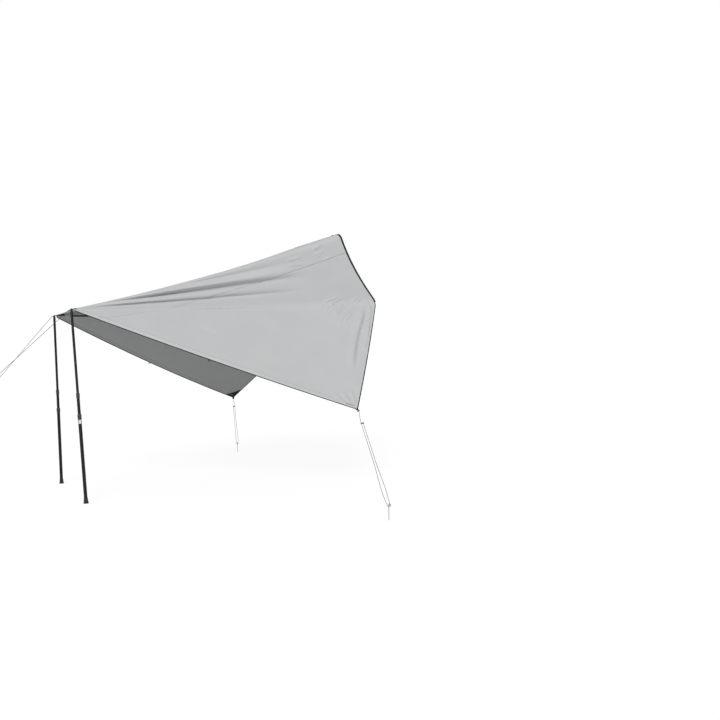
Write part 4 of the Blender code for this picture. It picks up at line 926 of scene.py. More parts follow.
# Load webbings: 12 mm webbing sewn under the cloth along each crease, from the pole top to the hoop's
# foot. It takes the pull of the poles, so that the cloth itself doesn't.
LOAD_WIDTH = 0.012
LOAD_THICKNESS = 0.0014
LOAD_DROP = 0.0020
LOAD_ROWS = graded((0.050, 0.74, 0.78, 0.995), (0.0045, 0.0045, 0.0022, 0.0022))
LOAD_COLUMNS = np.linspace(-0.5, 0.5, 9)


def cloth_reach(s, t):
    """How many metres of cloth lie across, at one place, for each step of one in s."""
    change = smooth_cloth(s + SLOPE_STEP, t) - smooth_cloth(s - SLOPE_STEP, t)
    return np.linalg.norm(change, axis=-1) / (2.0 * SLOPE_STEP)


for side in SIDES:
    middle = np.full(LOAD_ROWS.shape, on_side(side, S_CREASE))
    across = LOAD_WIDTH * LOAD_COLUMNS
    load_s = middle[:, None] + across[None, :] / cloth_reach(middle, LOAD_ROWS)[:, None]
    load_t = np.broadcast_to(LOAD_ROWS[:, None], load_s.shape)
    run = LOAD_ROWS * float(np.linalg.norm(HOOP_FOOT - POLE_TOP))
    flat = np.stack(np.broadcast_arrays(run[:, None], across[None, :]), -1)
    drop = -(CLOTH_THICKNESS / 2.0 + LOAD_DROP + LOAD_THICKNESS / 2.0)
    name = side + "_load_webbing"
    band = sewn_panel(name, load_s, load_t, flat, LOAD_THICKNESS, WEBBING, WEBBING, drop)
    fixed(name, band, WEBBING, "canopy", "webbing", "load_webbing_" + side)


# Front hem: a 30 mm webbing between the two pole tops, in a folded sleeve of the grey cloth that is
# stitched down along the front edge.
FRONT_HEM_WIDTH = 0.030
FRONT_HEM_THICKNESS = 0.0030
FRONT_HEM_LAP = 0.010
FRONT_HEM_ROUNDING = 0.0012
FRONT_HEM_PLACES = 80
POLE_PATCH_HALF = 0.0165

front_reach = -POLE_TOP[1] - POLE_PATCH_HALF - SEAM_GAP
front_edge = cloth(np.array([S_CENTRE]), np.array([FRONT_START]))
front_out = -front_edge[1][0]
front_up = front_edge[3][0]
front_s = np.linspace(S_RIDGE, S_FAR_HEM - S_RIDGE, FRONT_HEM_PLACES)
front_point = cloth(front_s, np.full(front_s.shape, FRONT_START))[0]
front_point[0, 1] = -front_reach
front_point[-1, 1] = front_reach
outline = band_outline(-FRONT_HEM_LAP, FRONT_HEM_WIDTH, FRONT_HEM_THICKNESS, FRONT_HEM_ROUNDING)
hem = sewn_band(
    "front_hem", front_point, [front_out] * FRONT_HEM_PLACES, [front_up] * FRONT_HEM_PLACES, outline
)
front_hem = fixed("front_hem", hem, OUTSIDE, "canopy", "awning_cloth", "front_hem_webbing")


# Zip: a tape sewn to the cloth along the hoop, up one cheek, over the roof and down the other, with the
# nylon coil of its half of the zip along the tape's outer edge.
ZIP_TAPE_WIDTH = 0.016
ZIP_TAPE_THICKNESS = 0.0013
ZIP_COIL_WIDTH = 0.0044
ZIP_COIL_THICKNESS = 0.0032
ZIP_TAPE_END = SEAM_GAP / 2.0 + ZIP_TAPE_WIDTH
ZIP_COIL_START = ZIP_TAPE_END + SEAM_GAP
ZIP_COIL_MIDDLE = ZIP_COIL_START + ZIP_COIL_WIDTH / 2.0
ZIP_LAP = 0.004
ZIP_TURN = 0.03
TOOTH_PITCH = 0.0019
TOOTH_RADIUS = 0.00062
TOOTH_HEAD = 1.2
GRAIN_FINER = 12.0
TAPE_EDGE_ROUNDING = 0.0005
BEAD_IN = 0.0012
BEAD_OUT = 0.0026
BEAD_THICKNESS = 0.0009
BEAD_ROUNDING = 0.0004

hoop_places = (S_CREASE, S_RIDGE - ZIP_TURN, S_RIDGE + ZIP_TURN, S_CENTRE)
hoop_half = graded(hoop_places, (0.0045, 0.0020, 0.0020, 0.0080))
hoop_s = np.concatenate((hoop_half, (S_FAR_HEM - hoop_half[:-1])[::-1]))
hoop_point, hoop_out, _, hoop_up = cloth(hoop_s, np.ones(hoop_s.shape))
_, top_out, _, top_up = (v[0] for v in cloth(np.array([S_CENTRE]), np.array([1.0])))
from_ridge = np.where(hoop_s <= S_CENTRE, hoop_s, S_FAR_HEM - hoop_s) - S_RIDGE
on_top = eased(from_ridge / ZIP_TURN)[:, None]
hoop_out = unit(hoop_out * (1.0 - on_top) + top_out * on_top)
hoop_up = unit(hoop_up * (1.0 - on_top) + top_up * on_top)


def rule_tree(name, numbers):
    """A geometry tree that spaces copies along lines: its start, its end and its spaced, turned points."""
    tree = bpy.data.node_groups.new(name, "GeometryNodeTree")
    tree.interface.new_socket("Geometry", in_out="INPUT", socket_type="NodeSocketGeometry")
    for socket in numbers:
        tree.interface.new_socket(socket, in_out="INPUT", socket_type="NodeSocketFloat")
    tree.interface.new_socket("Finish", in_out="INPUT", socket_type="NodeSocketMaterial")
    tree.interface.new_socket("Geometry", in_out="OUTPUT", socket_type="NodeSocketGeometry")
    start = add(tree, "NodeGroupInput")
    curve = wired(tree, add(tree, "GeometryNodeMeshToCurve"), start.outputs["Geometry"])
    spaced = add(tree, "GeometryNodeResampleCurve", mode="LENGTH")
    fill(tree, spaced, Curve=curve, Length=start.outputs["Pitch"])
    upward = add(tree, "GeometryNodeInputNamedAttribute", data_type="FLOAT_VECTOR")
    upward.inputs["Name"].default_value = "up"
    lengthwise = add(tree, "FunctionNodeAlignRotationToVector", axis="X")
    fill(tree, lengthwise, Vector=add(tree, "GeometryNodeInputTangent").outputs[0])
    upright = add(tree, "FunctionNodeAlignRotationToVector", axis="Z", pivot_axis="X")
    fill(tree, upright, Rotation=lengthwise.outputs[0], Vector=upward.outputs[0])
    copies = add(tree, "GeometryNodeInstanceOnPoints")
    fill(tree, copies, Points=spaced.outputs[0], Rotation=upright.outputs[0])
    real = wired(tree, add(tree, "GeometryNodeRealizeInstances"), copies.outputs[0])
    coloured = add(tree, "GeometryNodeSetMaterial")
    fill(tree, coloured, Geometry=real, Material=start.outputs["Finish"])
    feed(tree, add(tree, "NodeGroupOutput").inputs[0], coloured.outputs[0])
    return tree, start, copies


def rounded_copy(tree, radius, size, at=(0.0, 0.0, 0.0)):
    """A small smooth ball of a radius, scaled to a size and moved, ready to be copied."""
    ball = fill(tree, add(tree, "GeometryNodeMeshIcoSphere"), Radius=radius)
    smooth = fill(tree, add(tree, "GeometryNodeSetShadeSmooth"), Geometry=ball.outputs[0])
    scale, offset = (wired(tree, add(tree, "ShaderNodeCombineXYZ"), *values) for values in (size, at))
    moved = add(tree, "GeometryNodeTransform")
    return fill(tree, moved, Geometry=smooth.outputs[0], Scale=scale, Translation=offset).outputs[0]


def tooth_tree():
    """One turn of the coil: a strand over and a strand under the tape's edge, and a head that joins them."""
    tree, start, copies = rule_tree("zip_teeth", ("Pitch", "Width", "Height", "Strand"))
    parts = add(tree, "GeometryNodeJoinGeometry")
    width = start.outputs["Width"]
    strand = start.outputs["Strand"]
    rise = calculate(tree, "SUBTRACT", calculate(tree, "MULTIPLY", start.outputs["Height"], 0.5), strand)
    half = calculate(tree, "MULTIPLY", width, 0.5)
    outer = calculate(tree, "MULTIPLY", calculate(tree, "SUBTRACT", width, strand), -0.5)
    head_half = calculate(tree, "MULTIPLY", strand, TOOTH_HEAD)
    shapes = [
        ((strand, half, strand), (0.0, 0.0, calculate(tree, "MULTIPLY", rise, hand))) for hand in (-1.0, 1.0)
    ]
    shapes.append(((strand, head_half, calculate(tree, "ADD", rise, strand)), (0.0, outer, 0.0)))
    for size, at in shapes:
        feed(tree, parts.inputs[0], rounded_copy(tree, 1.0, size, at))
    feed(tree, copies.inputs["Instance"], parts.outputs[0])
    return tree


def copies_along(name, lines, tree, finish, **numbers):
    """A mesh of copies spaced along lines of points, each line with its way up."""
    mesh = bpy.data.meshes.new(name)
    points, ups, edges = [], [], []
    for line, up in lines:
        first = len(points)
        points += [tuple(p) for p in line]
        ups += [tuple(u) for u in up]
        edges += [(k, k + 1) for k in range(first, len(points) - 1)]
    mesh.from_pydata(points, edges, [])
    mesh.attributes.new("up", "FLOAT_VECTOR", "POINT").data.foreach_set("vector", np.ravel(ups))
    rule = place(name + "_rule", mesh)
    growth = rule.modifiers.new("copies", "NODES")
    growth.node_group = tree
    for item in tree.interface.items_tree:
        if item.in_out == "INPUT" and item.name in numbers:
            growth[item.identifier] = numbers[item.name]
        elif item.name == "Finish":
            growth[item.identifier] = finish
    bpy.context.view_layer.update()
    grown = rule.evaluated_get(bpy.context.evaluated_depsgraph_get())
    made = bpy.data.meshes.new_from_object(grown)
    made.name = name
    bpy.data.objects.remove(rule, do_unlink=True)
    return made


def plain_finish(name, dark, light, roughness, patches, depth=0.0, metallic=0.0):
    """A moulded or drawn finish: slightly uneven tone and sheen, with a fine grain."""
    made, tree, shader = new_finish(name)
    where = object_place(tree)
    tone = uneven(tree, where, patches, contrast=1.3)
    fill(
        tree,
        shader,
        Base_Color=toned(tree, dark, light, tone),
        Roughness=around(tree, tone, roughness, 0.07),
        Metallic=metallic,
    )
    if depth:
        grain = uneven(tree, where, patches=patches * GRAIN_FINER)
        fill(tree, shader, Normal=bumped(tree, grain, depth))
    return made


NYLON = plain_finish("black_nylon_coil", (0.012, 0.012, 0.013), (0.030, 0.030, 0.031), 0.42, 60.0)
ZIP_TEETH = tooth_tree()

outlines = (
    band_outline(-ZIP_LAP, ZIP_TAPE_END, ZIP_TAPE_THICKNESS, TAPE_EDGE_ROUNDING),
    band_outline(ZIP_TAPE_END - BEAD_IN, ZIP_COIL_START + BEAD_OUT, BEAD_THICKNESS, BEAD_ROUNDING),
)
strips = [sewn_band("strip", hoop_point, hoop_out, hoop_up, outline) for outline in outlines]
tape = joined("zip_tape_woven", strips)
zip_tape = fixed("zip_tape_woven", tape, TAPE, "canopy", "webbing", "zip_tape")
teeth = copies_along(
    "zip_teeth",
    [(hoop_point + hoop_out * ZIP_COIL_MIDDLE, hoop_up)],
    ZIP_TEETH,
    NYLON,
    Pitch=TOOTH_PITCH,
    Width=ZIP_COIL_WIDTH,
    Height=ZIP_COIL_THICKNESS,
    Strand=TOOTH_RADIUS,
)
zip_teeth = fixed("zip_teeth", teeth, NYLON, "canopy", "nylon_coil", "zip_coil")


# Zip slider and pull: a small black cast shell that runs on the coil, with a bridge on top, and the flat
# pull that swings on the bridge's bar.
ZIP_SLIDER_LENGTH = 0.014
ZIP_SLIDER_WALL = 0.0030
ZIP_SLIDER_CLEARANCE = 0.0005
ZIP_SLIDER_PARK = 0.19
SLIDER_EDGE = 0.0009
PULL_LENGTH = 0.026
PULL_THICKNESS = 0.0018
PULL_LIFT = 12.0
PULL_EYE = 0.0023
PULL_BORE_RADIUS = 0.0012
PULL_BAR_RADIUS = 0.0008
PULL_BAR_ABOVE = 0.0026
PULL_EAR = 0.0014
PULL_EAR_HALF = 0.0018
PULL_EAR_INSET = 0.0004
PULL_SIDE_CLEARANCE = 0.0008
PULL_HOLE_RADIUS = 0.0016
PULL_HOLE_FROM_END = 0.0042
PULL_EDGE = 0.0003
SOLID_SHARP = 40.0
ROUNDED_FROM = 30.0


def mesh_of(bm, name):
    """Turn a bmesh into a mesh whose faces point outwards."""
    bmesh.ops.remove_doubles(bm, verts=bm.verts, dist=1e-7)
    bmesh.ops.recalc_face_normals(bm, faces=bm.faces)
    mesh = bpy.data.meshes.new(name)
    bm.to_mesh(mesh)
    bm.free()
    return mesh


def lofted(sections, name):
    """A solid through rings of points that have the same count, with a cap at each end."""
    bm = bmesh.new()
    rings = [[bm.verts.new(p) for p in section] for section in sections]
    for low, high in zip(rings, rings[1:]):
        for i in range(len(low)):
            j = (i + 1) % len(low)
            bm.faces.new((low[i], low[j], high[j], high[i]))
    bm.faces.new(rings[0])
    bm.faces.new(rings[-1])
    return mesh_of(bm, name)


def extruded(outline, axis_low, axis_high, name):
    """A plate whose outline lies in XZ, between two heights along Y."""
    low = [Vector((x, axis_low, z)) for x, z in outline]
    high = [Vector((x, axis_high, z)) for x, z in outline]
    return lofted((low, high), name)


def rod(radius, start, end, name, sides=24):
    """A straight round rod between two points."""
    start, end = Vector(start), Vector(end)
    turn = (end - start).to_track_quat("Z", "Y").to_matrix()
    angles = [2.0 * math.pi * k / sides for k in range(sides)]
    ring = [turn @ Vector((radius * math.cos(a), radius * math.sin(a), 0.0)) for a in angles]
    return lofted([[centre + spot for spot in ring] for centre in (start, end)], name)


def block(low, high, name):
    """A box between two corners."""
    outline = ((low[0], low[2]), (high[0], low[2]), (high[0], high[2]), (low[0], high[2]))
    return extruded(outline, low[1], high[1], name)


def worked(name, base, tools=(), edge=0.0, segments=2):
    """Unite and cut a mesh with others in turn, then round its edges."""
    body = place(name + "_raw", base)
    helpers = [place(name + "_tool", tool) for _, tool in tools]
    for (operation, _), helper in zip(tools, helpers):
        step = body.modifiers.new(operation, "BOOLEAN")
        step.operation = operation
        step.solver = "EXACT"
        step.object = helper
    if edge:
        rounding = body.modifiers.new("edges", "BEVEL")
        rounding.width = edge
        rounding.segments = segments
        rounding.limit_method = "ANGLE"
        rounding.angle_limit = math.radians(ROUNDED_FROM)
    bpy.context.view_layer.update()
    mesh = bpy.data.meshes.new_from_object(body.evaluated_get(bpy.context.evaluated_depsgraph_get()))
    mesh.name = name
    for helper in helpers + [body]:
        bpy.data.objects.remove(helper, do_unlink=True)
    return softened(mesh, SOLID_SHARP)


def frame_matrix(origin, x_axis, y_axis, z_axis):
    """A placement whose columns are the given axes."""
    turn = Matrix((Vector(x_axis), Vector(y_axis), Vector(z_axis))).transposed().to_4x4()
    return Matrix.Translation(Vector(origin)) @ turn


ANODISED = plain_finish("black_anodised", BLACK, (0.020, 0.020, 0.021), 0.36, 90.0, 0.00004, 0.6)

slider_half = ZIP_SLIDER_LENGTH / 2.0
slot_half = ZIP_COIL_THICKNESS / 2.0 + ZIP_SLIDER_CLEARANCE
shell_half = slot_half + ZIP_SLIDER_WALL / 2.0
shell_in = ZIP_COIL_START - ZIP_SLIDER_WALL
inside_out = ZIP_COIL_START + ZIP_COIL_WIDTH + ZIP_SLIDER_CLEARANCE
shell_out = inside_out + ZIP_SLIDER_WALL
bar_height = shell_half + PULL_BAR_ABOVE
shell_outline = (
    (shell_in, -shell_half),
    (shell_out, -shell_half),
    (shell_out, shell_half),
    (shell_in, shell_half),
    (shell_in, slot_half),
    (inside_out, slot_half),
    (inside_out, -slot_half),
    (shell_in, -slot_half),
)
slider_parts = []
for x in (shell_in + PULL_EAR_INSET, shell_out - PULL_EAR_INSET - PULL_EAR):
    ear = [(-PULL_EAR_HALF, shell_half - PULL_EAR_INSET)]
    ear += arc((0.0, bar_height), PULL_EAR_HALF, 180.0, 0.0, 10)
    ear += [(PULL_EAR_HALF, shell_half - PULL_EAR_INSET)]
    ear_mesh = extruded(ear, x, x + PULL_EAR, "ear")
    ear_mesh.transform(Matrix(((0, 1, 0, 0), (1, 0, 0, 0), (0, 0, 1, 0), (0, 0, 0, 1))))
    ear_mesh.flip_normals()
    slider_parts.append(("UNION", ear_mesh))
bar_ends = [(x, 0.0, bar_height) for x in (shell_in + PULL_EAR, shell_out - PULL_EAR)]
slider_parts.append(("UNION", rod(PULL_BAR_RADIUS, bar_ends[0], bar_ends[1], "bar")))
slider_shell = extruded(shell_outline, -slider_half, slider_half, "shell")
slider_shell = worked("shell", slider_shell, (), SLIDER_EDGE, 3)
slider_mesh = worked("zip_slider_shell", slider_shell, slider_parts)
park_s = S_RIDGE + (S_CENTRE - S_RIDGE) * ZIP_SLIDER_PARK / HALF_ROOF
slider_at = smooth_cloth(np.array([park_s]), np.array([1.0]))[0]
slider_frame = frame_matrix(slider_at, top_out, (0, 1, 0), top_up)
fixed("zip_slider_shell", slider_mesh, ANODISED, "zip_runner", "black_metal", "zip_slider", at=slider_frame)

pull_half = (shell_out - shell_in) / 2.0 - PULL_EAR - PULL_SIDE_CLEARANCE
pull_plan = [(-pull_half, 0.0), (-pull_half, PULL_LENGTH - pull_half)]
pull_plan += arc((0.0, PULL_LENGTH - pull_half), pull_half, 180.0, 0.0, 14)[1:-1]
pull_plan += [(pull_half, PULL_LENGTH - pull_half), (pull_half, 0.0)]
pull_plate = lofted(
    [[Vector((z, y, x)) for y, x in pull_plan] for z in (-PULL_THICKNESS / 2.0, PULL_THICKNESS / 2.0)],
    "plate",
)
bore = rod(PULL_BORE_RADIUS, (0.0, -2.0 * pull_half, 0.0), (0.0, 2.0 * pull_half, 0.0), "bore")
hub = rod(PULL_EYE, (0.0, -pull_half, 0.0), (0.0, pull_half, 0.0), "hub")
hole_at = PULL_LENGTH - PULL_HOLE_FROM_END
hole = rod(PULL_HOLE_RADIUS, (-PULL_LENGTH, 0.0, hole_at), (PULL_LENGTH, 0.0, hole_at), "hole")
pull_mesh = worked(
    "zip_pull_plate", pull_plate, (("UNION", hub), ("DIFFERENCE", bore), ("DIFFERENCE", hole)), PULL_EDGE
)
lift_sin = math.sin(math.radians(PULL_LIFT))
lift_cos = math.cos(math.radians(PULL_LIFT))
pull_turn = Matrix(((0, 1, 0), (-lift_sin, 0, lift_cos), (lift_cos, 0, lift_sin))).to_4x4()
pull_at = Matrix.Translation(((shell_in + shell_out) / 2.0, 0.0, bar_height))
pull_frame = slider_frame @ pull_at @ pull_turn
fixed("zip_pull_plate", pull_mesh, ANODISED, "zip_tab", "black_metal", "zip_pull", at=pull_frame)


# Pole patches: stiff black webbing cloth at each pole top, with a large rolled eyelet that drops over the
# pole's spigot. A layer of it goes on under the cloth's corner, whose own grey edge is folded over above.
POLE_PATCH_FRONT = 0.015
POLE_PATCH_THICKNESS = 0.003
POLE_PATCH_NOSE = 0.55
POLE_PATCH_CHEEK = 0.4
POLE_PATCH_REAR = 0.7
POLE_PATCH_LAP = 0.012
POLE_EYELET = {"bore": 0.0055, "barrel": 0.0068, "flange": 0.0125, "lip": 0.0013}
POLE_PANEL_THICKNESS = 0.0012
POLE_PANEL_GAP = 0.0005
POLE_PANEL_ROOF = 0.011
POLE_PANEL_START = 0.0045
POLE_PANEL_REACH = 0.034
CORNER_FOLD_REACH = 0.015
CORNER_FOLD_START = 0.004
POLE_PATCH_EDGE = 0.0009
DRILL_BEYOND = 0.002


def turned(profile, name, sides=48):
    """A solid of revolution about Z from a closed outline of (radius, height) points."""
    bm = bmesh.new()
    rings = []
    for k in range(sides):
        angle = 2.0 * math.pi * k / sides
        rings.append([bm.verts.new((r * math.cos(angle), r * math.sin(angle), z)) for r, z in profile])
    for k in range(sides):
        low = rings[k]
        high = rings[(k + 1) % sides]
        for i in range(len(profile)):
            j = (i + 1) % len(profile)
            if profile[i][0] > 0.0 or profile[j][0] > 0.0:
                bm.faces.new((low[i], low[j], high[j], high[i]))
    bmesh.ops.remove_doubles(bm, verts=bm.verts, dist=1e-7)
    bmesh.ops.dissolve_degenerate(bm, edges=bm.edges, dist=1e-7)
    return softened(mesh_of(bm, name), SOLID_SHARP)


def rolled_eyelet(size, plate, name):
    """A rolled eyelet through a plate: a barrel with a flange curled over on each side."""
    half = plate / 2.0 + SEAM_GAP
    lip = size["lip"]
    crown = size["bore"] + lip
    outline = arc((crown, half), lip, 180.0, 90.0, 6)
    outline += arc((size["flange"] - lip, half), lip, 90.0, 0.0, 6)
    outline += [(size["barrel"], half), (size["barrel"], -half)]
    outline += arc((size["flange"] - lip, -half), lip, 0.0, -90.0, 6)
    outline += arc((crown, -half), lip, -90.0, -180.0, 6)
    return turned(outline, name)


def plate_on(matrix, outline, low, high, hole, name, edge):
    """A flat plate with one round hole; outline, hole centre and heights are in the matrix's frame."""
    base = lofted([[Vector((x, y, z)) for x, y in outline] for z in (low, high)], name)
    hole_x, hole_y, hole_radius = hole
    ends = [(hole_x, hole_y, z) for z in (low - DRILL_BEYOND, high + DRILL_BEYOND)]
    drill = rod(hole_radius, *ends, "hole", 40)
    mesh = worked(name, base, (("DIFFERENCE", drill),), edge)
    flat = mesh.uv_layers.new(name="laid_flat")
    for loop in mesh.loops:
        spot = mesh.vertices[loop.vertex_index].co
        flat.data[loop.index].uv = (spot.x, spot.y)
    mesh.transform(matrix)
    return mesh


EYELET_FINISH = plain_finish(
    "eyelet_nickel", (0.27, 0.27, 0.28), (0.36, 0.36, 0.37), 0.33, 120.0, 0.00002, 1.0
)
PATCH_CLOTH = webbing_finish("black_patch_cloth", 0.0009, 0.0009, 0.0003)


def pole_layer(side, name, faces_up, lowest, far_end, finish):
    """One layer that follows the cloth round the pole top, on its outer or inner side."""
    across = np.linspace(lowest, S_RIDGE + POLE_PANEL_ROOF, 90)
    layer_s, layer_t = np.meshgrid(across, np.linspace(POLE_PANEL_START, far_end, 22))
    flat = np.stack(laid_flat(smooth_cloth(layer_s, layer_t), layer_s), -1)
    lift = faces_up * (CLOTH_THICKNESS / 2.0 + POLE_PANEL_GAP + POLE_PANEL_THICKNESS / 2.0)
    layer_s = on_side(side, layer_s)
    return sewn_panel(name, layer_s, layer_t, flat, POLE_PANEL_THICKNESS, finish, finish, lift)


front_edge_point = cloth(np.array([S_RIDGE]), np.array([FRONT_START]))[0][0]
patch_rise = math.atan2(front_edge_point[2] - POLE_TOP[2], front_edge_point[0] - POLE_TOP[0])
patch_rear = (front_edge_point[0] - POLE_TOP[0]) / math.cos(patch_rise) + POLE_PATCH_LAP
patch_frames = {}
pole_patches = []
for side in SIDES:
    x_axis = Vector((math.cos(patch_rise), 0.0, math.sin(patch_rise)))
    y_axis = Vector((0.0, 1.0, 0.0))
    patch_frames[side] = frame_matrix(mirrored(POLE_TOP, side), x_axis, y_axis, x_axis.cross(y_axis))
    nose = POLE_PATCH_HALF * POLE_PATCH_NOSE
    cheek = -POLE_PATCH_FRONT * POLE_PATCH_CHEEK
    left = [(-POLE_PATCH_FRONT, nose), (cheek, POLE_PATCH_HALF)]
    left.append((patch_rear, POLE_PATCH_HALF * POLE_PATCH_REAR))
    outline = [(x, -y) for x, y in left] + left[::-1]
    half = POLE_PATCH_THICKNESS / 2.0
    hole = (0.0, 0.0, POLE_EYELET["barrel"] + SEAM_GAP)
    name = side + "_pole_patch"
    patch = plate_on(patch_frames[side], outline, -half, half, hole, name, POLE_PATCH_EDGE)
    layer = pole_layer(side, "layer", -1.0, S_CREASE, POLE_PANEL_REACH, PATCH_CLOTH)
    patch = joined(name, (patch, layer))
    pole_patches.append(fixed(name, patch, PATCH_CLOTH, "canopy", "webbing", "pole_patch_" + side))
    name = side + "_corner_fold"
    fold = pole_layer(side, name, 1.0, CORNER_FOLD_START, CORNER_FOLD_REACH, OUTSIDE)
    pole_patches.append(fixed(name, fold, OUTSIDE, "canopy", "awning_cloth"))
    name = side + "_pole_ring"
    ring = rolled_eyelet(POLE_EYELET, POLE_PATCH_THICKNESS, name)
    at = patch_frames[side]
    fixed(name, ring, EYELET_FINISH, "canopy", "eyelet_metal", "pole_eyelet_" + side, at=at)


# Wing corners: a triangle of black cloth sewn under each corner, folded into a flat tab that sticks out
# past the cloth and carries the guy's eyelet.
WING_PATCH_HEM_LEG = 0.14
WING_PATCH_EDGE_LEG = 0.17
WING_PATCH_THICKNESS = 0.002
WING_TAB_LENGTH = 0.030
WING_TAB_HALF = 0.013
WING_TAB_SHOULDER = 0.015
WING_EYELET_OUT = 0.018
WING_EYELET = {"bore": 0.0050, "barrel": 0.0062, "flange": 0.0095, "lip": 0.0011}
HEM_SOLID_THICKNESS = 0.0022
CORNER_BACK = 0.953
CORNER_UP = 0.108
CORNER_CELLS = 48
UNDER_CLOTH = 0.0012
WING_TAB_EDGE = 0.0006
CORNER_CELLS_FROM = 0.05

tab_frames = {}
for side in SIDES:
    corner_s = on_side(side, np.array([0.0, 0.0, CORNER_UP]))
    back, tip, up = (Vector(p) for p in smooth_cloth(corner_s, np.array([CORNER_BACK, 1.0, 1.0])))
    to_back = (back - tip).normalized()
    to_up = (up - tip).normalized()
    outward = to_up.cross(to_back).normalized() * sign_of(side)
    inward_mid = (to_back + to_up).normalized()
    sideways = outward.cross(inward_mid).normalized()
    tab_frame = frame_matrix(tip, inward_mid, sideways, outward)
    left = [(-WING_TAB_LENGTH, WING_TAB_HALF), (WING_TAB_SHOULDER, WING_TAB_SHOULDER)]
    outline = [(x, -y) for x, y in left] + left[::-1]
    high = -HEM_SOLID_THICKNESS / 2.0 - SEAM_GAP
    low = high - WING_PATCH_THICKNESS
    hole = (-WING_EYELET_OUT, 0.0, WING_EYELET["barrel"] + SEAM_GAP)
    tab = plate_on(tab_frame, outline, low, high, hole, "tab", WING_TAB_EDGE)
    cells = [np.linspace(first, 1.0, CORNER_CELLS) for first in (CORNER_CELLS_FROM, 0.0)]
    size, turn = np.meshgrid(*cells, indexing="ij")
    up_share = size * turn * WING_PATCH_EDGE_LEG
    back_share = size * (1.0 - turn) * WING_PATCH_HEM_LEG
    corner_s = on_side(side, up_share / float((up - tip).length) * CORNER_UP)
    corner_t = 1.0 - back_share / float((back - tip).length) * (1.0 - CORNER_BACK)
    flat = np.stack((back_share, up_share), -1)
    drop = -CLOTH_THICKNESS / 2.0 - UNDER_CLOTH - WING_PATCH_THICKNESS / 2.0
    corner = sewn_panel(
        "corner", corner_s, corner_t, flat, WING_PATCH_THICKNESS, PATCH_CLOTH, PATCH_CLOTH, drop
    )
    name = side + "_wing_patch"
    patch = joined(name, (corner, tab))
    fixed(name, patch, PATCH_CLOTH, "canopy", "webbing", "wing_patch_" + side)
    tab_frames[side] = tab_frame @ Matrix.Translation((-WING_EYELET_OUT, 0.0, (low + high) / 2.0))
    name = side + "_wing_ring"
    ring = rolled_eyelet(WING_EYELET, WING_PATCH_THICKNESS, name)
    at = tab_frames[side]
    fixed(name, ring, EYELET_FINISH, "canopy", "eyelet_metal", "wing_eyelet_" + side, at=at)


# Stitching: grey thread along the two felled seams, over the load webbings and along the front hem, and black
# thread along the tapes, the zip tape and the load webbings' underside.
THREAD_WIDTH = 0.0008
THREAD_HEIGHT = 0.0006
STITCH_PITCH = 0.0042
STITCH_LENGTH = 0.0031


def stitch_tree():
    """Stitches of one length spaced along lines."""
    tree, start, copies = rule_tree("sewn_stitches", ("Pitch", "Length", "Width", "Height"))
    size = (start.outputs["Length"], start.outputs["Width"], start.outputs["Height"])
    fill(tree, copies, Instance=rounded_copy(tree, 0.5, size))
    return tree


STITCHES = stitch_tree()


def sewn(name, lines, thread, slot):
    """Rows of stitches on the canopy, along lines of points that each have their way up."""
    mesh = copies_along(
        name,
        lines,
        STITCHES,
        thread,
        Pitch=STITCH_PITCH,
        Length=STITCH_LENGTH,
        Width=THREAD_WIDTH,
        Height=THREAD_HEIGHT,
    )
    return fixed(name, mesh, thread, "canopy", slot)


def both_faces(lines, point, out, up, reaches, thickness):
    """Add rows of stitches on both faces of a band, at distances out from its middle line."""
    for faces_up in (1.0, -1.0):
        for reach in reaches:
            line = point + out * reach + up * (faces_up * thickness / 2.0)
            lines.append((line, np.broadcast_to(up * faces_up, line.shape)))


GREY_THREAD = plain_finish("grey_thread", (0.40, 0.405, 0.42), (0.50, 0.505, 0.52), 0.7, 300.0)
BLACK_THREAD = plain_finish("black_thread", (0.012, 0.012, 0.013), (0.026, 0.026, 0.027), 0.6, 300.0)

seam_lines = []
for point, down, normal in seams.values():
    high = normal * (SEAM_LIFT + SEAM_THICKNESS / 2.0)
    for offset in (SEAM_EDGES[0] + STITCH_ROW_IN, SEAM_EDGES[1] - STITCH_ROW_IN):
        seam_lines.append((point + down * offset + high, normal))
seam_stitches = sewn("seam_stitches", seam_lines, GREY_THREAD, "awning_cloth")

tape_lines = []
webbing_lines = []
load_thread = []
for side in SIDES:
    for faces_up in (1.0, -1.0):
        for edges in (hem_edges, tent_edges):
            point, out, _, normal = edges[side]
            high = normal * (faces_up * HEM_THICKNESS / 2.0)
            tape_lines.append((point - out * (HEM_LAP - STITCH_ROW_IN) + high, normal * faces_up))
    under = CLOTH_THICKNESS / 2.0 + LOAD_DROP + LOAD_THICKNESS
    middle = np.full(LOAD_ROWS.shape, on_side(side, S_CREASE))
    for hand in (-1.0, 1.0):
        reach = hand * (LOAD_WIDTH / 2.0 - STITCH_ROW_IN)
        point, _, _, normal = cloth(middle + reach / cloth_reach(middle, LOAD_ROWS), LOAD_ROWS)
        webbing_lines.append((point - normal * under, -normal))
        load_thread.append((point + normal * CLOTH_THICKNESS / 2.0, normal))
tape_rows = (STITCH_ROW_IN - ZIP_LAP, SEAM_GAP + STITCH_ROW_IN)
both_faces(tape_lines, hoop_point, hoop_out, hoop_up, tape_rows, ZIP_TAPE_THICKNESS)
hem_rows = (STITCH_ROW_IN - FRONT_HEM_LAP, FRONT_HEM_WIDTH - STITCH_ROW_IN)
both_faces(load_thread, front_point, front_out, front_up, hem_rows, FRONT_HEM_THICKNESS)
binding_stitches = sewn("binding_stitches", tape_lines, BLACK_THREAD, "webbing")
webbing_stitches = sewn("webbing_stitches", webbing_lines, BLACK_THREAD, "webbing")
load_stitches = sewn("load_stitches", load_thread, GREY_THREAD, "awning_cloth")
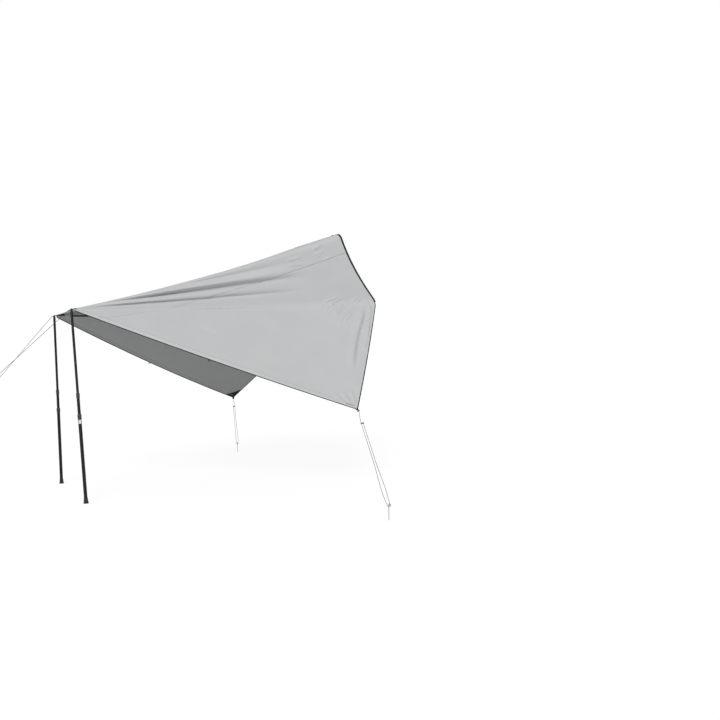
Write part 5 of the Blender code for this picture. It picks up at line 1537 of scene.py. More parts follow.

# A list of the pieces that sit on the canopy's cloth.
on_roof = [front_hem, zip_tape, zip_teeth, seam_stitches, binding_stitches, webbing_stitches, load_stitches]
on_roof += pole_patches + [felled_seams[side] for side in SIDES]


# Pole tubes: three anodised aluminium tubes that slide into each other, with a nylon bush in the lower
# end of each inner one, and a turned pin in the top one that the eyelet drops over.
UPPER_TUBE_DIAMETER = 0.024
MIDDLE_TUBE_DIAMETER = 0.028
LOWER_TUBE_DIAMETER = 0.032
TUBE_WALL = 0.0011
TUBE_EDGE = 0.0004
UPPER_TUBE_BOTTOM = 0.93
MIDDLE_TUBE_BOTTOM = 0.185
MIDDLE_TUBE_TOP = 1.022
LOWER_TUBE_TOP = 0.821
SLIDING_CLEARANCE = 0.0003
BUSH_HEAD = 0.012
BUSH_BOSS = 0.012
BUSH_GROOVE = 0.0005
BUSH_GROOVES = 3
PLUG_EDGE = 0.001
SPIGOT_RADIUS = 0.004
SPIGOT_ABOVE_TOP = 0.010
SPIGOT_SHOULDER = 0.014
SPIGOT_FLANGE = 0.0045
SPIGOT_NECK = 0.005
SPIGOT_NECK_FLARE = 0.0012
SPIGOT_BOSS = 0.025
SPIGOT_FLANGE_EDGE = 0.0006
SPIGOT_DOME = 0.003
FOOT_HEIGHT = 0.052
FOOT_SOLE_RADIUS = 0.024
FOOT_TOP_RADIUS = 0.0182
FOOT_FLOOR = 0.012
FOOT_RIM = 0.008
FOOT_WAIST_HEIGHT = 0.030
FOOT_WAIST_RADIUS = 0.0194
FOOT_GROOVES = (0.0345, 0.0385, 0.0425)
FOOT_GROOVE = 0.0007
FOOT_GROOVE_HALVES = (0.0009, 0.0004)
FOOT_SOLE_EDGE = 0.0012
FOOT_FLARE = (0.0012, 0.008)
FOOT_TOP_EDGE = 0.0008
LEVER_FACING = Vector((-0.496, -0.868, 0.0))
POLE_LENGTH = float(np.linalg.norm(POLE_TOP - POLE_FOOT))

pole_frames = {}
for side in SIDES:
    top_point = mirrored(POLE_TOP, side)
    axis = (top_point - mirrored(POLE_FOOT, side)).normalized()
    facing = (LEVER_FACING - axis * LEVER_FACING.dot(axis)).normalized()
    pole_frames[side] = frame_matrix(top_point, facing, axis.cross(facing), axis)


def at_height(side, height, out=0.0):
    """A placement on the pole's axis at a height from its foot, or so far out towards its levers."""
    return pole_frames[side] @ Matrix.Translation((out, 0.0, height - POLE_LENGTH))


def tube(outer, length, name):
    """An open tube with softly broken edges, standing on its own origin."""
    radius = outer / 2.0
    inner = radius - TUBE_WALL
    high = length - TUBE_EDGE
    outline = [(inner + TUBE_EDGE, 0.0), (radius - TUBE_EDGE, 0.0), (radius, TUBE_EDGE)]
    outline += [(radius, length / 2.0), (radius, high), (radius - TUBE_EDGE, length)]
    outline += [(inner + TUBE_EDGE, length), (inner, high), (inner, TUBE_EDGE)]
    return turned(outline, name)


def bush(tube_bore, outer_bore, name):
    """A nylon end plug: a boss inside its own tube and a grooved head that guides it in the next."""
    boss = tube_bore - SLIDING_CLEARANCE
    head = outer_bore - SLIDING_CLEARANCE
    outline = [(0.0, -BUSH_HEAD), (head - PLUG_EDGE, -BUSH_HEAD), (head, -BUSH_HEAD + PLUG_EDGE)]
    for k in range(1, BUSH_GROOVES + 1):
        middle = -BUSH_HEAD + k * BUSH_HEAD / (BUSH_GROOVES + 1.0)
        outline += [(head, middle - BUSH_GROOVE), (head - BUSH_GROOVE, middle), (head, middle + BUSH_GROOVE)]
    outline += [(head, -SLIDING_CLEARANCE), (boss, -SLIDING_CLEARANCE), (boss, BUSH_BOSS), (0.0, BUSH_BOSS)]
    return turned(outline, name)


def spigot():
    """The pin that stands in the eyelet, its shoulder and its plug; origin at the eyelet's centre."""
    boss = UPPER_TUBE_DIAMETER / 2.0 - TUBE_WALL - SLIDING_CLEARANCE
    flange = UPPER_TUBE_DIAMETER / 2.0
    neck = SPIGOT_RADIUS + SPIGOT_NECK_FLARE
    below = -SPIGOT_SHOULDER - SPIGOT_FLANGE
    end = below - SPIGOT_BOSS
    outline = [(0.0, end), (boss - PLUG_EDGE, end), (boss, end + PLUG_EDGE)]
    outline += [(boss, below), (flange, below), (flange, -SPIGOT_SHOULDER - SPIGOT_FLANGE_EDGE)]
    outline += [(flange - SPIGOT_FLANGE_EDGE, -SPIGOT_SHOULDER)]
    outline += [(neck, -SPIGOT_NECK - SPIGOT_NECK_FLARE), (SPIGOT_RADIUS, -SPIGOT_NECK)]
    outline += arc((SPIGOT_RADIUS - SPIGOT_DOME, SPIGOT_ABOVE_TOP - SPIGOT_DOME), SPIGOT_DOME, 0.0, 90.0, 6)
    outline += [(0.0, SPIGOT_ABOVE_TOP)]
    return turned(outline, "spigot")


def rubber_foot(side):
    """The rubber foot with its grip grooves, cut flat by the ground under the leaning pole."""
    seat = LOWER_TUBE_DIAMETER / 2.0 + SLIDING_CLEARANCE
    edge = FOOT_SOLE_RADIUS - FOOT_SOLE_EDGE
    waist = FOOT_HEIGHT - FOOT_RIM - FOOT_WAIST_HEIGHT
    outline = [(0.0, 0.0), (edge, 0.0), (FOOT_SOLE_RADIUS, FOOT_SOLE_EDGE)]
    outline += [(FOOT_SOLE_RADIUS, FOOT_RIM - FOOT_SOLE_EDGE), (edge, FOOT_RIM)]
    outline += [(FOOT_WAIST_RADIUS + FOOT_FLARE[0], FOOT_WAIST_HEIGHT - FOOT_FLARE[1])]
    outline += [(FOOT_WAIST_RADIUS, FOOT_WAIST_HEIGHT)]
    wide, narrow = FOOT_GROOVE_HALVES
    for height in FOOT_GROOVES:
        share = (height - FOOT_WAIST_HEIGHT) / waist
        radius = FOOT_WAIST_RADIUS + share * (FOOT_TOP_RADIUS - FOOT_WAIST_RADIUS)
        outline += [(radius, height - wide), (radius - FOOT_GROOVE, height - narrow)]
        outline += [(radius - FOOT_GROOVE, height + narrow), (radius, height + wide)]
    outline += [(FOOT_TOP_RADIUS, FOOT_HEIGHT - FOOT_RIM), (FOOT_TOP_RADIUS, FOOT_HEIGHT - FOOT_TOP_EDGE)]
    outline += [(FOOT_TOP_RADIUS - FOOT_TOP_EDGE, FOOT_HEIGHT), (seat, FOOT_HEIGHT)]
    outline += [(seat, FOOT_FLOOR), (0.0, FOOT_FLOOR)]
    mesh = turned(outline, side + "_rubber_foot")
    x_up, y_up, z_up = pole_frames[side][2][:3]
    for v in mesh.vertices:
        if v.co.z < FOOT_RIM / 2.0:
            v.co.z += -(v.co.x * x_up + v.co.y * y_up) / z_up
    mesh.transform(at_height(side, 0.0))
    for v in mesh.vertices:
        v.co.z = max(v.co.z, 0.0)
    return mesh


def drawn_finish(name, dark, light, roughness):
    """A drawn and anodised tube: faint lines along it, and dull patches where hands have been."""
    made, tree, shader = new_finish(name)
    where = object_place(tree)
    drawn = uneven(tree, mapped(tree, where, Scale=(900.0, 900.0, 6.0)))
    tone = summed(tree, (drawn, 0.5), (uneven(tree, where, patches=14.0, contrast=1.4), 0.5))
    fill(
        tree,
        shader,
        Base_Color=toned(tree, dark, light, tone),
        Roughness=ranged(tree, tone, low=roughness - 0.08, high=roughness + 0.10),
        Specular_IOR_Level=0.22,
        Normal=bumped(tree, drawn, distance=0.00003),
    )
    return made


POLE_FINISH = drawn_finish("black_pole_tube", (0.0035, 0.0035, 0.0040), (0.0085, 0.0085, 0.0090), 0.40)
PLASTIC = plain_finish(
    "black_moulded_nylon", (0.022, 0.022, 0.023), (0.040, 0.040, 0.041), 0.5, 110.0, 0.00006
)
RUBBER = plain_finish("black_rubber", (0.012, 0.012, 0.012), (0.028, 0.027, 0.026), 0.85, 45.0, 0.00010)

UPPER_BORE = UPPER_TUBE_DIAMETER / 2.0 - TUBE_WALL
MIDDLE_BORE = MIDDLE_TUBE_DIAMETER / 2.0 - TUBE_WALL
LOWER_BORE = LOWER_TUBE_DIAMETER / 2.0 - TUBE_WALL
upper_tube_length = POLE_LENGTH - SPIGOT_SHOULDER - SPIGOT_FLANGE - SEAM_GAP - UPPER_TUBE_BOTTOM
lower_tube_bottom = FOOT_FLOOR + SEAM_GAP
tubes = (
    ("upper", UPPER_TUBE_DIAMETER, UPPER_TUBE_BOTTOM, upper_tube_length, "top"),
    ("middle", MIDDLE_TUBE_DIAMETER, MIDDLE_TUBE_BOTTOM, MIDDLE_TUBE_TOP - MIDDLE_TUBE_BOTTOM, "middle"),
    ("lower", LOWER_TUBE_DIAMETER, lower_tube_bottom, LOWER_TUBE_TOP - lower_tube_bottom, "bottom"),
)
bushes = (
    ("upper", UPPER_BORE, MIDDLE_BORE, UPPER_TUBE_BOTTOM, "top"),
    ("middle", MIDDLE_BORE, LOWER_BORE, MIDDLE_TUBE_BOTTOM, "middle"),
)
for side in SIDES:
    body = side + "_pole_"
    for level, diameter, bottom, length, part in tubes:
        name = f"{side}_{level}_pole_tube"
        mesh = tube(diameter, length, name)
        at = at_height(side, bottom)
        fixed(name, mesh, POLE_FINISH, body + part, "pole_tube", f"{side}_{level}_tube", at=at)
    for level, bore, guide, bottom, part in bushes:
        name = f"{side}_{level}_guide_bush"
        mesh = bush(bore, guide, name)
        at = at_height(side, bottom)
        fixed(name, mesh, PLASTIC, body + part, "black_plastic", f"{side}_{level}_bush", at=at)
    name = side + "_spigot"
    at = pole_frames[side]
    fixed(name, spigot(), ANODISED, body + "top", "black_metal", side + "_tip_spigot", at=at)
    name = side + "_rubber_foot"
    fixed(name, rubber_foot(side), RUBBER, body + "bottom", "rubber_foot", side + "_foot")


# Flip clamps: a split nylon collar at the top of the middle and the lower tube, drawn together round the
# tube inside it by a cam lever that swings on a steel pin between two ears.
CLAMP_BELOW = 0.025
CLAMP_ABOVE = 0.022
CLAMP_WALL = 0.0027
CLAMP_EDGE = 0.0012
CLAMP_TOP_TAPER = (0.002, 0.004)
CLAMP_RIB_HEIGHTS = (-0.019, -0.015, -0.011)
CLAMP_RIB = 0.0006
CLAMP_RIB_HALVES = (0.0010, 0.0005)
EAR_REACH = 0.0085
EAR_THICKNESS = 0.003
EAR_GAP = 0.0076
EAR_HALF_HEIGHT = 0.007
EAR_ROOT = 0.0016
EAR_CORNER = 0.0035
EAR_EDGE = 0.0004
PIVOT_OUT = 0.0046
PIVOT_RADIUS = 0.0018
PIN_BEYOND_EAR = 0.0008
CLAMP_SPLIT = 0.0016
LEVER_LENGTH = 0.032
LEVER_THICKNESS = 0.0042
LEVER_BACK = 0.0024
LEVER_CAM_RADIUS = 0.0040
LEVER_CAM_SWEEP = (-30.0, 210.0)
LEVER_CAM_BOTTOM = 0.006
LEVER_PADDLE_WIDTH = 0.014
LEVER_PADDLE_BELOW_EAR = 0.003
LEVER_TOE = (0.003, 0.0055)
LEVER_TOE_LENGTH = 0.006
LEVER_GRIPS = (-0.0235, -0.0205, -0.0175)
LEVER_GRIP_RADIUS = 0.0008
LEVER_GRIP_IN = 0.0002
LEVER_GRIP_SHORT = 0.0018
PADDLE_EDGE = 0.0007
ARM_EDGE = 0.0003
RIVET_HEAD = 1.45
RIVET_CROWN = 0.7
RIVET_RIM = 0.6


def clamp_collar(outer_tube, inner_tube, name):
    """The split collar with its ears and its ring grooves; origin at the end of the outer tube."""
    seat = outer_tube / 2.0 + SLIDING_CLEARANCE
    guide = inner_tube / 2.0 + SLIDING_CLEARANCE
    body = outer_tube / 2.0 + CLAMP_WALL
    taper_in, taper_height = CLAMP_TOP_TAPER
    outline = [(seat, -CLAMP_BELOW), (body - CLAMP_EDGE, -CLAMP_BELOW), (body, -CLAMP_BELOW + CLAMP_EDGE)]
    wide, narrow = CLAMP_RIB_HALVES
    for height in CLAMP_RIB_HEIGHTS:
        outline += [(body, height - wide), (body - CLAMP_RIB, height - narrow)]
        outline += [(body - CLAMP_RIB, height + narrow), (body, height + wide)]
    outline += [(body, CLAMP_ABOVE - taper_height), (body - taper_in, CLAMP_ABOVE), (guide, CLAMP_ABOVE)]
    outline += [(guide, SLIDING_CLEARANCE), (seat, SLIDING_CLEARANCE)]
    pivot = body + PIVOT_OUT
    corner_x = body + EAR_REACH - EAR_CORNER
    corner_z = EAR_HALF_HEIGHT - EAR_CORNER
    ear = [(body - EAR_ROOT, -EAR_HALF_HEIGHT)]
    ear += arc((corner_x, -corner_z), EAR_CORNER, -90.0, 0.0, 6)
    ear += arc((corner_x, corner_z), EAR_CORNER, 0.0, 90.0, 6)
    ear += [(body - EAR_ROOT, EAR_HALF_HEIGHT)]
    tools = []
    for hand in (-1.0, 1.0):
        ys = sorted((hand * EAR_GAP / 2.0, hand * (EAR_GAP / 2.0 + EAR_THICKNESS)))
        tools.append(("UNION", worked("ear", extruded(ear, ys[0], ys[1], "ear"), (), EAR_EDGE)))
    split = block(
        (guide / 2.0, -CLAMP_SPLIT / 2.0, -2.0 * CLAMP_BELOW),
        (2.0 * body, CLAMP_SPLIT / 2.0, 2.0 * CLAMP_ABOVE),
        "split",
    )
    tools.append(("DIFFERENCE", split))
    reach = EAR_GAP + EAR_THICKNESS
    bore = PIVOT_RADIUS + SLIDING_CLEARANCE
    tools.append(("DIFFERENCE", rod(bore, (pivot, -reach, 0.0), (pivot, reach, 0.0), "pin_hole")))
    return worked(name, turned(outline, name), tools)


def cam_lever(name):
    """The cam lever hanging from its pin, with a broad finger paddle and three grip ribs."""
    back = -LEVER_BACK
    front = LEVER_THICKNESS - LEVER_BACK
    toe_top = -LEVER_LENGTH + LEVER_TOE_LENGTH
    toe = [(back + reach, -LEVER_LENGTH) for reach in LEVER_TOE]
    blade = [(back, toe_top)] + toe + [(front, toe_top)]
    cam = arc((0.0, 0.0), LEVER_CAM_RADIUS, *LEVER_CAM_SWEEP, 20)
    arm = cam + [(back, -LEVER_CAM_BOTTOM)] + blade + [(front, -LEVER_CAM_BOTTOM)]
    paddle_top = -EAR_HALF_HEIGHT - LEVER_PADDLE_BELOW_EAR
    paddle = [(back, paddle_top)] + blade + [(front, paddle_top)]
    half = EAR_GAP / 2.0 - SLIDING_CLEARANCE
    wide = LEVER_PADDLE_WIDTH / 2.0
    broad = worked("paddle", extruded(paddle, -wide, wide, "paddle"), (), PADDLE_EDGE)
    tools = [("UNION", broad)]
    grip = wide - LEVER_GRIP_SHORT
    for height in LEVER_GRIPS:
        ends = [(front - LEVER_GRIP_IN, y, height) for y in (-grip, grip)]
        tools.append(("UNION", rod(LEVER_GRIP_RADIUS, *ends, "grip", 12)))
    bore = rod(PIVOT_RADIUS + SLIDING_CLEARANCE, (0.0, -EAR_GAP, 0.0), (0.0, EAR_GAP, 0.0), "bore")
    tools.append(("DIFFERENCE", bore))
    return worked(name, worked("arm", extruded(arm, -half, half, "arm"), (), ARM_EDGE), tools)


def rivet_pin(name):
    """The lever's steel pin, with a low domed head at each end."""
    half = EAR_GAP / 2.0 + EAR_THICKNESS + PIN_BEYOND_EAR
    head = PIVOT_RADIUS * RIVET_HEAD
    under = half - PIN_BEYOND_EAR
    rim = half - PIN_BEYOND_EAR * RIVET_RIM
    top = [(PIVOT_RADIUS, under), (head, under), (head, rim), (head * RIVET_CROWN, half), (0.0, half)]
    outline = [(radius, -height) for radius, height in reversed(top)] + top
    mesh = turned(outline, name, 24)
    mesh.transform(Matrix.Rotation(math.radians(90.0), 4, "X"))
    return mesh


def zinc_finish(name):
    """Hot-dip zinc: grey crystals of slightly different tone and gloss, with dull scuffs."""
    made, tree, shader = new_finish(name)
    where = object_place(tree)
    crystals = fill(tree, add(tree, "ShaderNodeTexVoronoi"), Vector=where, Scale=420.0)
    crystal = wired(tree, add(tree, "ShaderNodeSeparateColor"), crystals.outputs["Color"])
    tone = summed(tree, (crystal, 0.6), (uneven(tree, where, patches=70.0, contrast=1.4), 0.4))
    fill(
        tree,
        shader,
        Base_Color=toned(tree, (0.17, 0.175, 0.18), (0.30, 0.305, 0.31), tone),
        Roughness=ranged(tree, tone, low=0.34, high=0.52),
        Metallic=1.0,
    )
    return made


ZINC = zinc_finish("zinc_plated_steel")
clamps = (
    ("upper", MIDDLE_TUBE_DIAMETER, UPPER_TUBE_DIAMETER, MIDDLE_TUBE_TOP, "middle"),
    ("lower", LOWER_TUBE_DIAMETER, MIDDLE_TUBE_DIAMETER, LOWER_TUBE_TOP, "bottom"),
)
for side in SIDES:
    for level, outer_tube, inner_tube, height, part in clamps:
        own = f"{side}_{level}"
        body = f"{side}_pole_{part}"
        collar = clamp_collar(outer_tube, inner_tube, own + "_clamp_collar")
        at = at_height(side, height)
        fixed(collar.name, collar, PLASTIC, body, "black_plastic", own + "_clamp", at=at)
        at = at_height(side, height, outer_tube / 2.0 + CLAMP_WALL + PIVOT_OUT)
        name = own + "_cam_lever"
        fixed(name, cam_lever(name), PLASTIC, own + "_flip", "black_plastic", own + "_lever", at=at)
        name = own + "_rivet_pin"
        fixed(name, rivet_pin(name), ZINC, body, "galvanised_steel", own + "_lever_pin", at=at)


# Blank label: a white vinyl sticker wrapped round the near pole's lower tube, just below its clamp.
LABEL_HEIGHT = 0.038
LABEL_WIDTH = 0.026
LABEL_BELOW_CLAMP = 0.006
LABEL_THICKNESS = 0.00016
LABEL_TURN = 22.0
LABEL_CORNER = 0.003
LABEL_OFF_TUBE = 0.00004
LABEL_ROWS = 33
LABEL_COLUMNS = 17


def label_mesh():
    """A thin curved patch with round corners on the tube's outer side."""
    radius = LOWER_TUBE_DIAMETER / 2.0 + LABEL_OFF_TUBE
    half_w, half_h = LABEL_WIDTH / 2.0, LABEL_HEIGHT / 2.0
    sections = []
    for z in np.linspace(-half_h, half_h, LABEL_ROWS):
        past = max(abs(z) - (half_h - LABEL_CORNER), 0.0)
        half = half_w - LABEL_CORNER + math.sqrt(max(LABEL_CORNER**2 - past**2, 0.0))
        ring = []
        for layer, first in ((radius, -half), (radius + LABEL_THICKNESS, half)):
            for x in np.linspace(first, -first, LABEL_COLUMNS):
                angle = x / radius + math.radians(LABEL_TURN)
                ring.append(Vector((layer * math.cos(angle), layer * math.sin(angle), z)))
        sections.append(ring)
    return softened(lofted(sections, "blank_label"), SOLID_SHARP)


LABEL = plain_finish("white_vinyl", (0.70, 0.70, 0.69), (0.80, 0.80, 0.79), 0.38, 90.0)
label_top = LOWER_TUBE_TOP - CLAMP_BELOW - LABEL_BELOW_CLAMP
label_at = at_height("near", label_top - LABEL_HEIGHT / 2.0)
fixed("blank_label", label_mesh(), LABEL, "near_pole_bottom", "black_plastic", at=label_at)


# Guy lines: 4 mm braided polyester cord. A pole's guy is tied in an eye round the spigot, under the
# patch; a wing's passes up through its eyelet from a stopper knot. Each runs through its slider, round
# its peg and back to the slider, where a knot stops its end.
CORD_DIAMETER = 0.004
CORD_STRAND_HALF_GAP = 0.010
CORD_TAIL = 0.012
PIN_LOOP_RADIUS = 0.012
PIN_LOOP_SPREAD = (0.018, 0.0072)
PIN_LOOP_FROM = -50.0
PIN_LOOP_SWEEP = -260.0
PIN_LOOP_STEPS = 8
PIN_LOOP_STRAND = 0.75
PIN_LOOP_ROOM = 0.001
KNOT_OUT = 0.026
KNOT_LEAD = 0.025
TURN_BEFORE_SLIDER = 0.03
EYELET_PASS = (-0.012, -0.004, 0.002)
EYELET_OVER = (0.006, 0.013)
EYELET_RISE = 0.009
EYELET_LEAD = 0.010
ROUTE_PULL = 0.3
PEG_TURN_STEPS = 8
STRANDS_ROUND = 6.0
PEG_DIAMETER = 0.0055
PEG_LOOP_HEIGHT = 0.118
CORD_SIDES = 12
KNOT_SIZE = 0.0017
KNOT_TURNS = 72
KNOT_SIDES = 10
KNOT_CORD_SHARE = 0.92
KNOT_SHAPE = (0.9, 0.8, 1.1)
PATH_STEP = 0.002
PATH_PULL = 0.33
STRAIGHT = 0.99999
SLANTED_WAY = (0.3, 0.5, 0.81)
# Each guy: its peg's place from the feet, its slider measured from its start, hook heading, full length
GUYS = {
    "near_pole": {"peg": (-1.86, -0.54), "slider_at": 2.00, "hook": 205.0, "length": 3.07},
    "far_pole": {"peg": (-1.49, 0.54), "slider_at": 1.54, "hook": 155.0, "length": 3.03},
    "near_wing": {"peg": (1.955, -2.98), "slider_at": 0.235, "hook": 300.0, "length": 2.8},
    "far_wing": {"peg": (2.663, 2.337), "slider_at": 0.165, "hook": 55.0, "length": 1.82},
}


def bezier(a, b, c, d, count):
    """Points on a cubic curve, without its first."""
    points = []
    for k in range(1, count + 1):
        f = k / count
        g = 1.0 - f
        points.append(a * g**3 + b * 3 * g * g * f + c * 3 * g * f * f + d * f**3)
    return points


def pin_loop(eyelet_frame, along):
    """The eye of a pole's guy, laid round the spigot under the eyelet, from knot to knot."""
    normal = eyelet_frame.to_3x3().col[2]
    flat = (along - normal * along.dot(normal)).normalized()
    sideways = flat.cross(normal)
    lip = POLE_PATCH_THICKNESS / 2.0 + SEAM_GAP + PIN_LOOP_ROOM
    centre = eyelet_frame.translation - normal * (lip + SEAM_GAP + CORD_DIAMETER / 2.0)
    knot = centre + flat * KNOT_OUT
    strand = CORD_DIAMETER * PIN_LOOP_STRAND
    ahead = flat * PIN_LOOP_SPREAD[0]
    apart = sideways * PIN_LOOP_SPREAD[1]
    points = [knot - sideways * strand, centre + ahead - apart]
    for k in range(PIN_LOOP_STEPS + 1):
        angle = math.radians(PIN_LOOP_FROM + PIN_LOOP_SWEEP * k / PIN_LOOP_STEPS)
        points.append(centre + (flat * math.cos(angle) + sideways * math.sin(angle)) * PIN_LOOP_RADIUS)
    points += [centre + ahead + apart, knot + sideways * strand]
    return points, flat, knot


def guy_route(name, side):
    """The route of one guy line, with its slider's frame, its peg's place and its knots."""
    data = GUYS[name]
    ground = Vector(from_feet(data["peg"][0], data["peg"][1], 0.0))
    hook = ground + Vector((0.0, 0.0, PEG_LOOP_HEIGHT))
    eyelet_frame = patch_frames[side] if name.endswith("pole") else tab_frames[side]
    up = eyelet_frame.to_3x3().col[2]
    start = eyelet_frame.translation
    along = (hook - start).normalized()
    sideways = along.cross(Vector((0.0, 0.0, 1.0))).normalized()
    level = math.hypot(along.x, along.y)
    round_peg = (CORD_DIAMETER / 2.0 + PEG_DIAMETER / 2.0 + SEAM_GAP) / level
    bend = hook + along * (round_peg - CORD_STRAND_HALF_GAP)
    slider = start + along * data["slider_at"]
    first_hole = slider + sideways * CORD_STRAND_HALF_GAP
    if name.endswith("pole"):
        points, flat, knot = pin_loop(eyelet_frame, along)
        points.append(points[-1] + along * KNOT_LEAD)
    else:
        flat = (along - up * along.dot(up)).normalized()
        start = start + flat * (WING_EYELET["bore"] - CORD_DIAMETER / 2.0 - SEAM_GAP)
        points = [start + up * height for height in EYELET_PASS]
        knot = points[0]
        over = start + flat * EYELET_OVER[0] + up * EYELET_OVER[1]
        points += bezier(points[-1], start + up * EYELET_RISE, over, over + along * EYELET_LEAD, 6)
    turn_in = slider - along * TURN_BEFORE_SLIDER + sideways * CORD_STRAND_HALF_GAP
    lead = points[-1]
    pull = along * (turn_in - lead).length * ROUTE_PULL
    points += bezier(lead, lead + pull, turn_in - pull, turn_in, 4)
    points.append(first_hole)
    far = (bend - slider).length
    points += [first_hole + along * far * 0.5, bend + sideways * CORD_STRAND_HALF_GAP]
    for k in range(1, PEG_TURN_STEPS):
        angle = math.pi * k / PEG_TURN_STEPS
        points.append(bend + (sideways * math.cos(angle) + along * math.sin(angle)) * CORD_STRAND_HALF_GAP)
    back = slider - sideways * CORD_STRAND_HALF_GAP
    points += [bend - sideways * CORD_STRAND_HALF_GAP, back + along * far * 0.5, back]
    points.append(back - along * CORD_TAIL)
    knots = ((knot, flat, up), (points[-1], along, sideways.cross(along)))
    return points, frame_matrix(slider, sideways, along, sideways.cross(along)), ground, knots


def eased_path(points, step):
    """A smooth line through points, with a new point about every step where it bends."""
    spots = [np.array(p) for p in points]
    path = [spots[0]]
    for k in range(len(spots) - 1):
        a, b = spots[k], spots[k + 1]
        before = spots[k - 1] if k else a - (b - a)
        after = spots[k + 2] if k + 2 < len(spots) else b + (b - a)
        span = np.linalg.norm(b - a)
        way_in, way, way_out = unit(a - before), unit(b - a), unit(after - b)
        enter = unit(way + way_in) * span * PATH_PULL
        leave = unit(way_out + way) * span * PATH_PULL
        straight = way @ way_in > STRAIGHT and way_out @ way > STRAIGHT
        count = 1 if straight else int(np.clip(round(span / step), 2, 14))
        path += [np.array(p) for p in bezier(a, a + enter, b - leave, b, count)]
    return path


def cord_tube(name, path, radius, sides=CORD_SIDES):
    """A round cord along a path, with its map in metres along and around."""
    path = np.array(path)
    ahead = np.concatenate((path[1:], path[-1:]))
    behind = np.concatenate((path[:1], path[:-1]))
    along = unit(ahead - behind)
    out = np.zeros_like(path)
    first = np.cross(along[0], SLANTED_WAY)
    out[0] = unit(first)
    for k in range(1, len(path)):
        out[k] = unit(out[k - 1] - along[k] * (out[k - 1] @ along[k]))
    side_way = np.cross(along, out)
    angles = [2.0 * math.pi * k / sides for k in range(sides)]
    ring = [(radius * math.cos(a), radius * math.sin(a)) for a in angles]
    return sewn_band(name, path, out, side_way, ring)


def knot_mesh(name, knot):
    """A tight overhand knot: one closed turn of the cord through itself."""
    centre, along, up = (np.array(v) for v in knot)
    along = unit(along)
    up = unit(up - along * (up @ along))
    side_way = np.cross(along, up)
    length, width, height = KNOT_SHAPE
    path = []
    for k in range(KNOT_TURNS + 1):
        a = 2.0 * math.pi * k / KNOT_TURNS
        x = math.sin(a) + 2.0 * math.sin(2.0 * a)
        y = math.cos(a) - 2.0 * math.cos(2.0 * a)
        z = -math.sin(3.0 * a)
        path.append(centre + (along * x * length + side_way * y * width + up * z * height) * KNOT_SIZE)
    return cord_tube(name, path, CORD_DIAMETER / 2.0 * KNOT_CORD_SHARE, KNOT_SIDES)


def cord_finish():
    """Braided cord: black and grey strands that cross on the slant."""
    made, tree, shader = new_finish("braided_guy_cord")
    slant = mapped(tree, flat_place(tree), Rotation=(0.0, 0.0, math.radians(45.0)))
    strand = math.pi * CORD_DIAMETER / STRANDS_ROUND / math.sqrt(2.0)
    height, thread = woven_height(tree, slant, strand, strand)
    patches = uneven(tree, object_place(tree), patches=30.0, contrast=1.2)
    tone = summed(tree, (thread, 0.45), (patches, 0.55))
    fill(
        tree,
        shader,
        Base_Color=toned(tree, BLACK, (0.070, 0.070, 0.072), tone),
        Roughness=ranged(tree, patches, low=0.70, high=0.86),
        Normal=bumped(tree, height, distance=0.0004),
    )
    return made


GUY_CORD = cord_finish()
guy_frames = {}
guy_grounds = {}
for name in GUYS:
    points, guy_frames[name], guy_grounds[name], knots = guy_route(name, name.split("_")[0])
    path = eased_path(points, PATH_STEP)
    cord = cord_tube(name + "_line", path, CORD_DIAMETER / 2.0)
    line = fixed(name + "_line", cord, GUY_CORD, "canopy", "guy_cord", name + "_guy")
    for end, knot in zip(("top", "tail"), knots):
        knot_name = f"{name}_{end}_knot"
        fixed(knot_name, knot_mesh(knot_name, knot), GUY_CORD, "canopy", "guy_cord")


# Guy sliders: flat moulded bars with two rounded holes, which a guy is tightened with.
SLIDER_SIZE = (0.034, 0.011, 0.004)
SLIDER_HOLE_RADIUS = 0.0026
BAR_EDGE = 0.0009

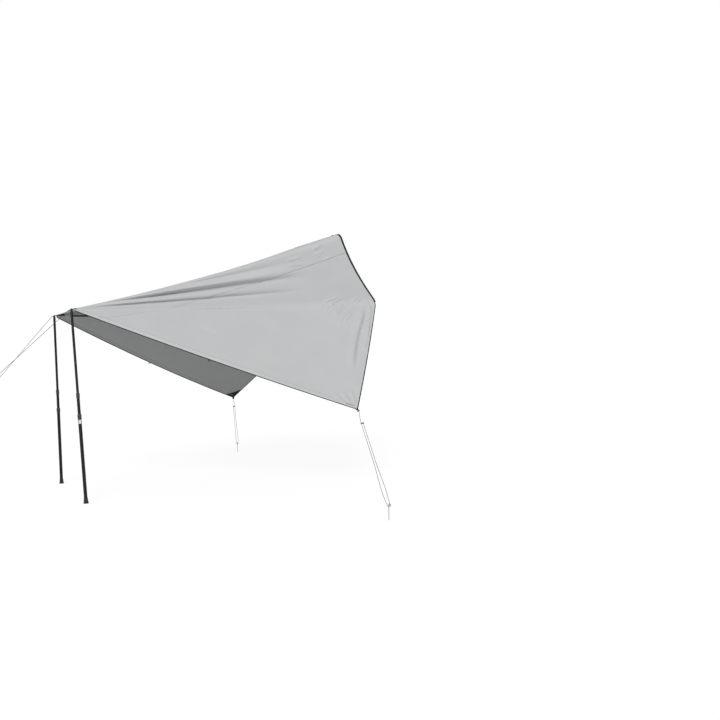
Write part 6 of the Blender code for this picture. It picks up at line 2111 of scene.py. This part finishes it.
for name in GUYS:
    length, height, thickness = SLIDER_SIZE
    flat_l = length / 2.0 - height / 2.0
    outline = arc((flat_l, 0.0), height / 2.0, -90.0, 90.0, 16)
    outline += arc((-flat_l, 0.0), height / 2.0, 90.0, 270.0, 16)
    plate = worked("bar", extruded(outline, -thickness / 2.0, thickness / 2.0, "bar"), (), BAR_EDGE, 3)
    tools = []
    for x in (-CORD_STRAND_HALF_GAP, CORD_STRAND_HALF_GAP):
        drill = rod(SLIDER_HOLE_RADIUS, (x, -height, 0.0), (x, height, 0.0), "hole")
        tools.append(("DIFFERENCE", drill))
    own = name + "_guy_slider"
    bar = worked(own, plate, tools)
    fixed(own, bar, PLASTIC, name + "_runner", "black_plastic", name + "_slider", at=guy_frames[name])


# Pegs: bent zinc-plated steel rods, pointed at the foot and hooked at the top, which hold the guys.
PEG_HEIGHT = 0.137
PEG_HOOK_RADIUS = 0.009
PEG_HOOK_DROP = 0.012
PEG_TIP_LENGTH = 0.022
PEG_TIP_RADIUS = 0.0012
PEG_END_LENGTH = 0.001
PEG_END_SHARE = 0.7
PEG_HOOK_STEPS = 18
PEG_SIDES = 20


def bent_peg(name, ground, heading):
    """A bent steel peg standing on its point."""
    hook_way = Vector((math.cos(heading), math.sin(heading), 0.0))
    up = Vector((0.0, 0.0, 1.0))
    shaft_top = PEG_HEIGHT - PEG_HOOK_RADIUS
    radius = PEG_DIAMETER / 2.0
    top = ground + up * shaft_top
    spots = [(ground, PEG_TIP_RADIUS), (ground + up * PEG_TIP_LENGTH, radius), (top, radius)]
    centre = top + hook_way * PEG_HOOK_RADIUS
    for k in range(1, PEG_HOOK_STEPS + 1):
        angle = math.pi * (1.0 - k / PEG_HOOK_STEPS)
        spots.append((centre + (hook_way * math.cos(angle) + up * math.sin(angle)) * PEG_HOOK_RADIUS, radius))
    end = spots[-1][0]
    spots.append((end - up * (PEG_HOOK_DROP - PEG_END_LENGTH), radius))
    spots.append((end - up * PEG_HOOK_DROP, radius * PEG_END_SHARE))
    across = up.cross(hook_way)
    ring = [2.0 * math.pi * i / PEG_SIDES for i in range(PEG_SIDES)]
    sections = []
    for k, (spot, r) in enumerate(spots):
        before = spots[max(k - 1, 0)][0]
        after = spots[min(k + 1, len(spots) - 1)][0]
        along = (after - before).normalized()
        out = along.cross(across)
        sections.append([spot + (out * math.cos(a) + across * math.sin(a)) * r for a in ring])
    return softened(lofted(sections, name), SOLID_SHARP)


for name in GUYS:
    own = name + "_bent_peg"
    peg = bent_peg(own, guy_grounds[name], math.radians(GUYS[name]["hook"]))
    fixed(own, peg, ZINC, "canopy", "galvanised_steel", name + "_peg")
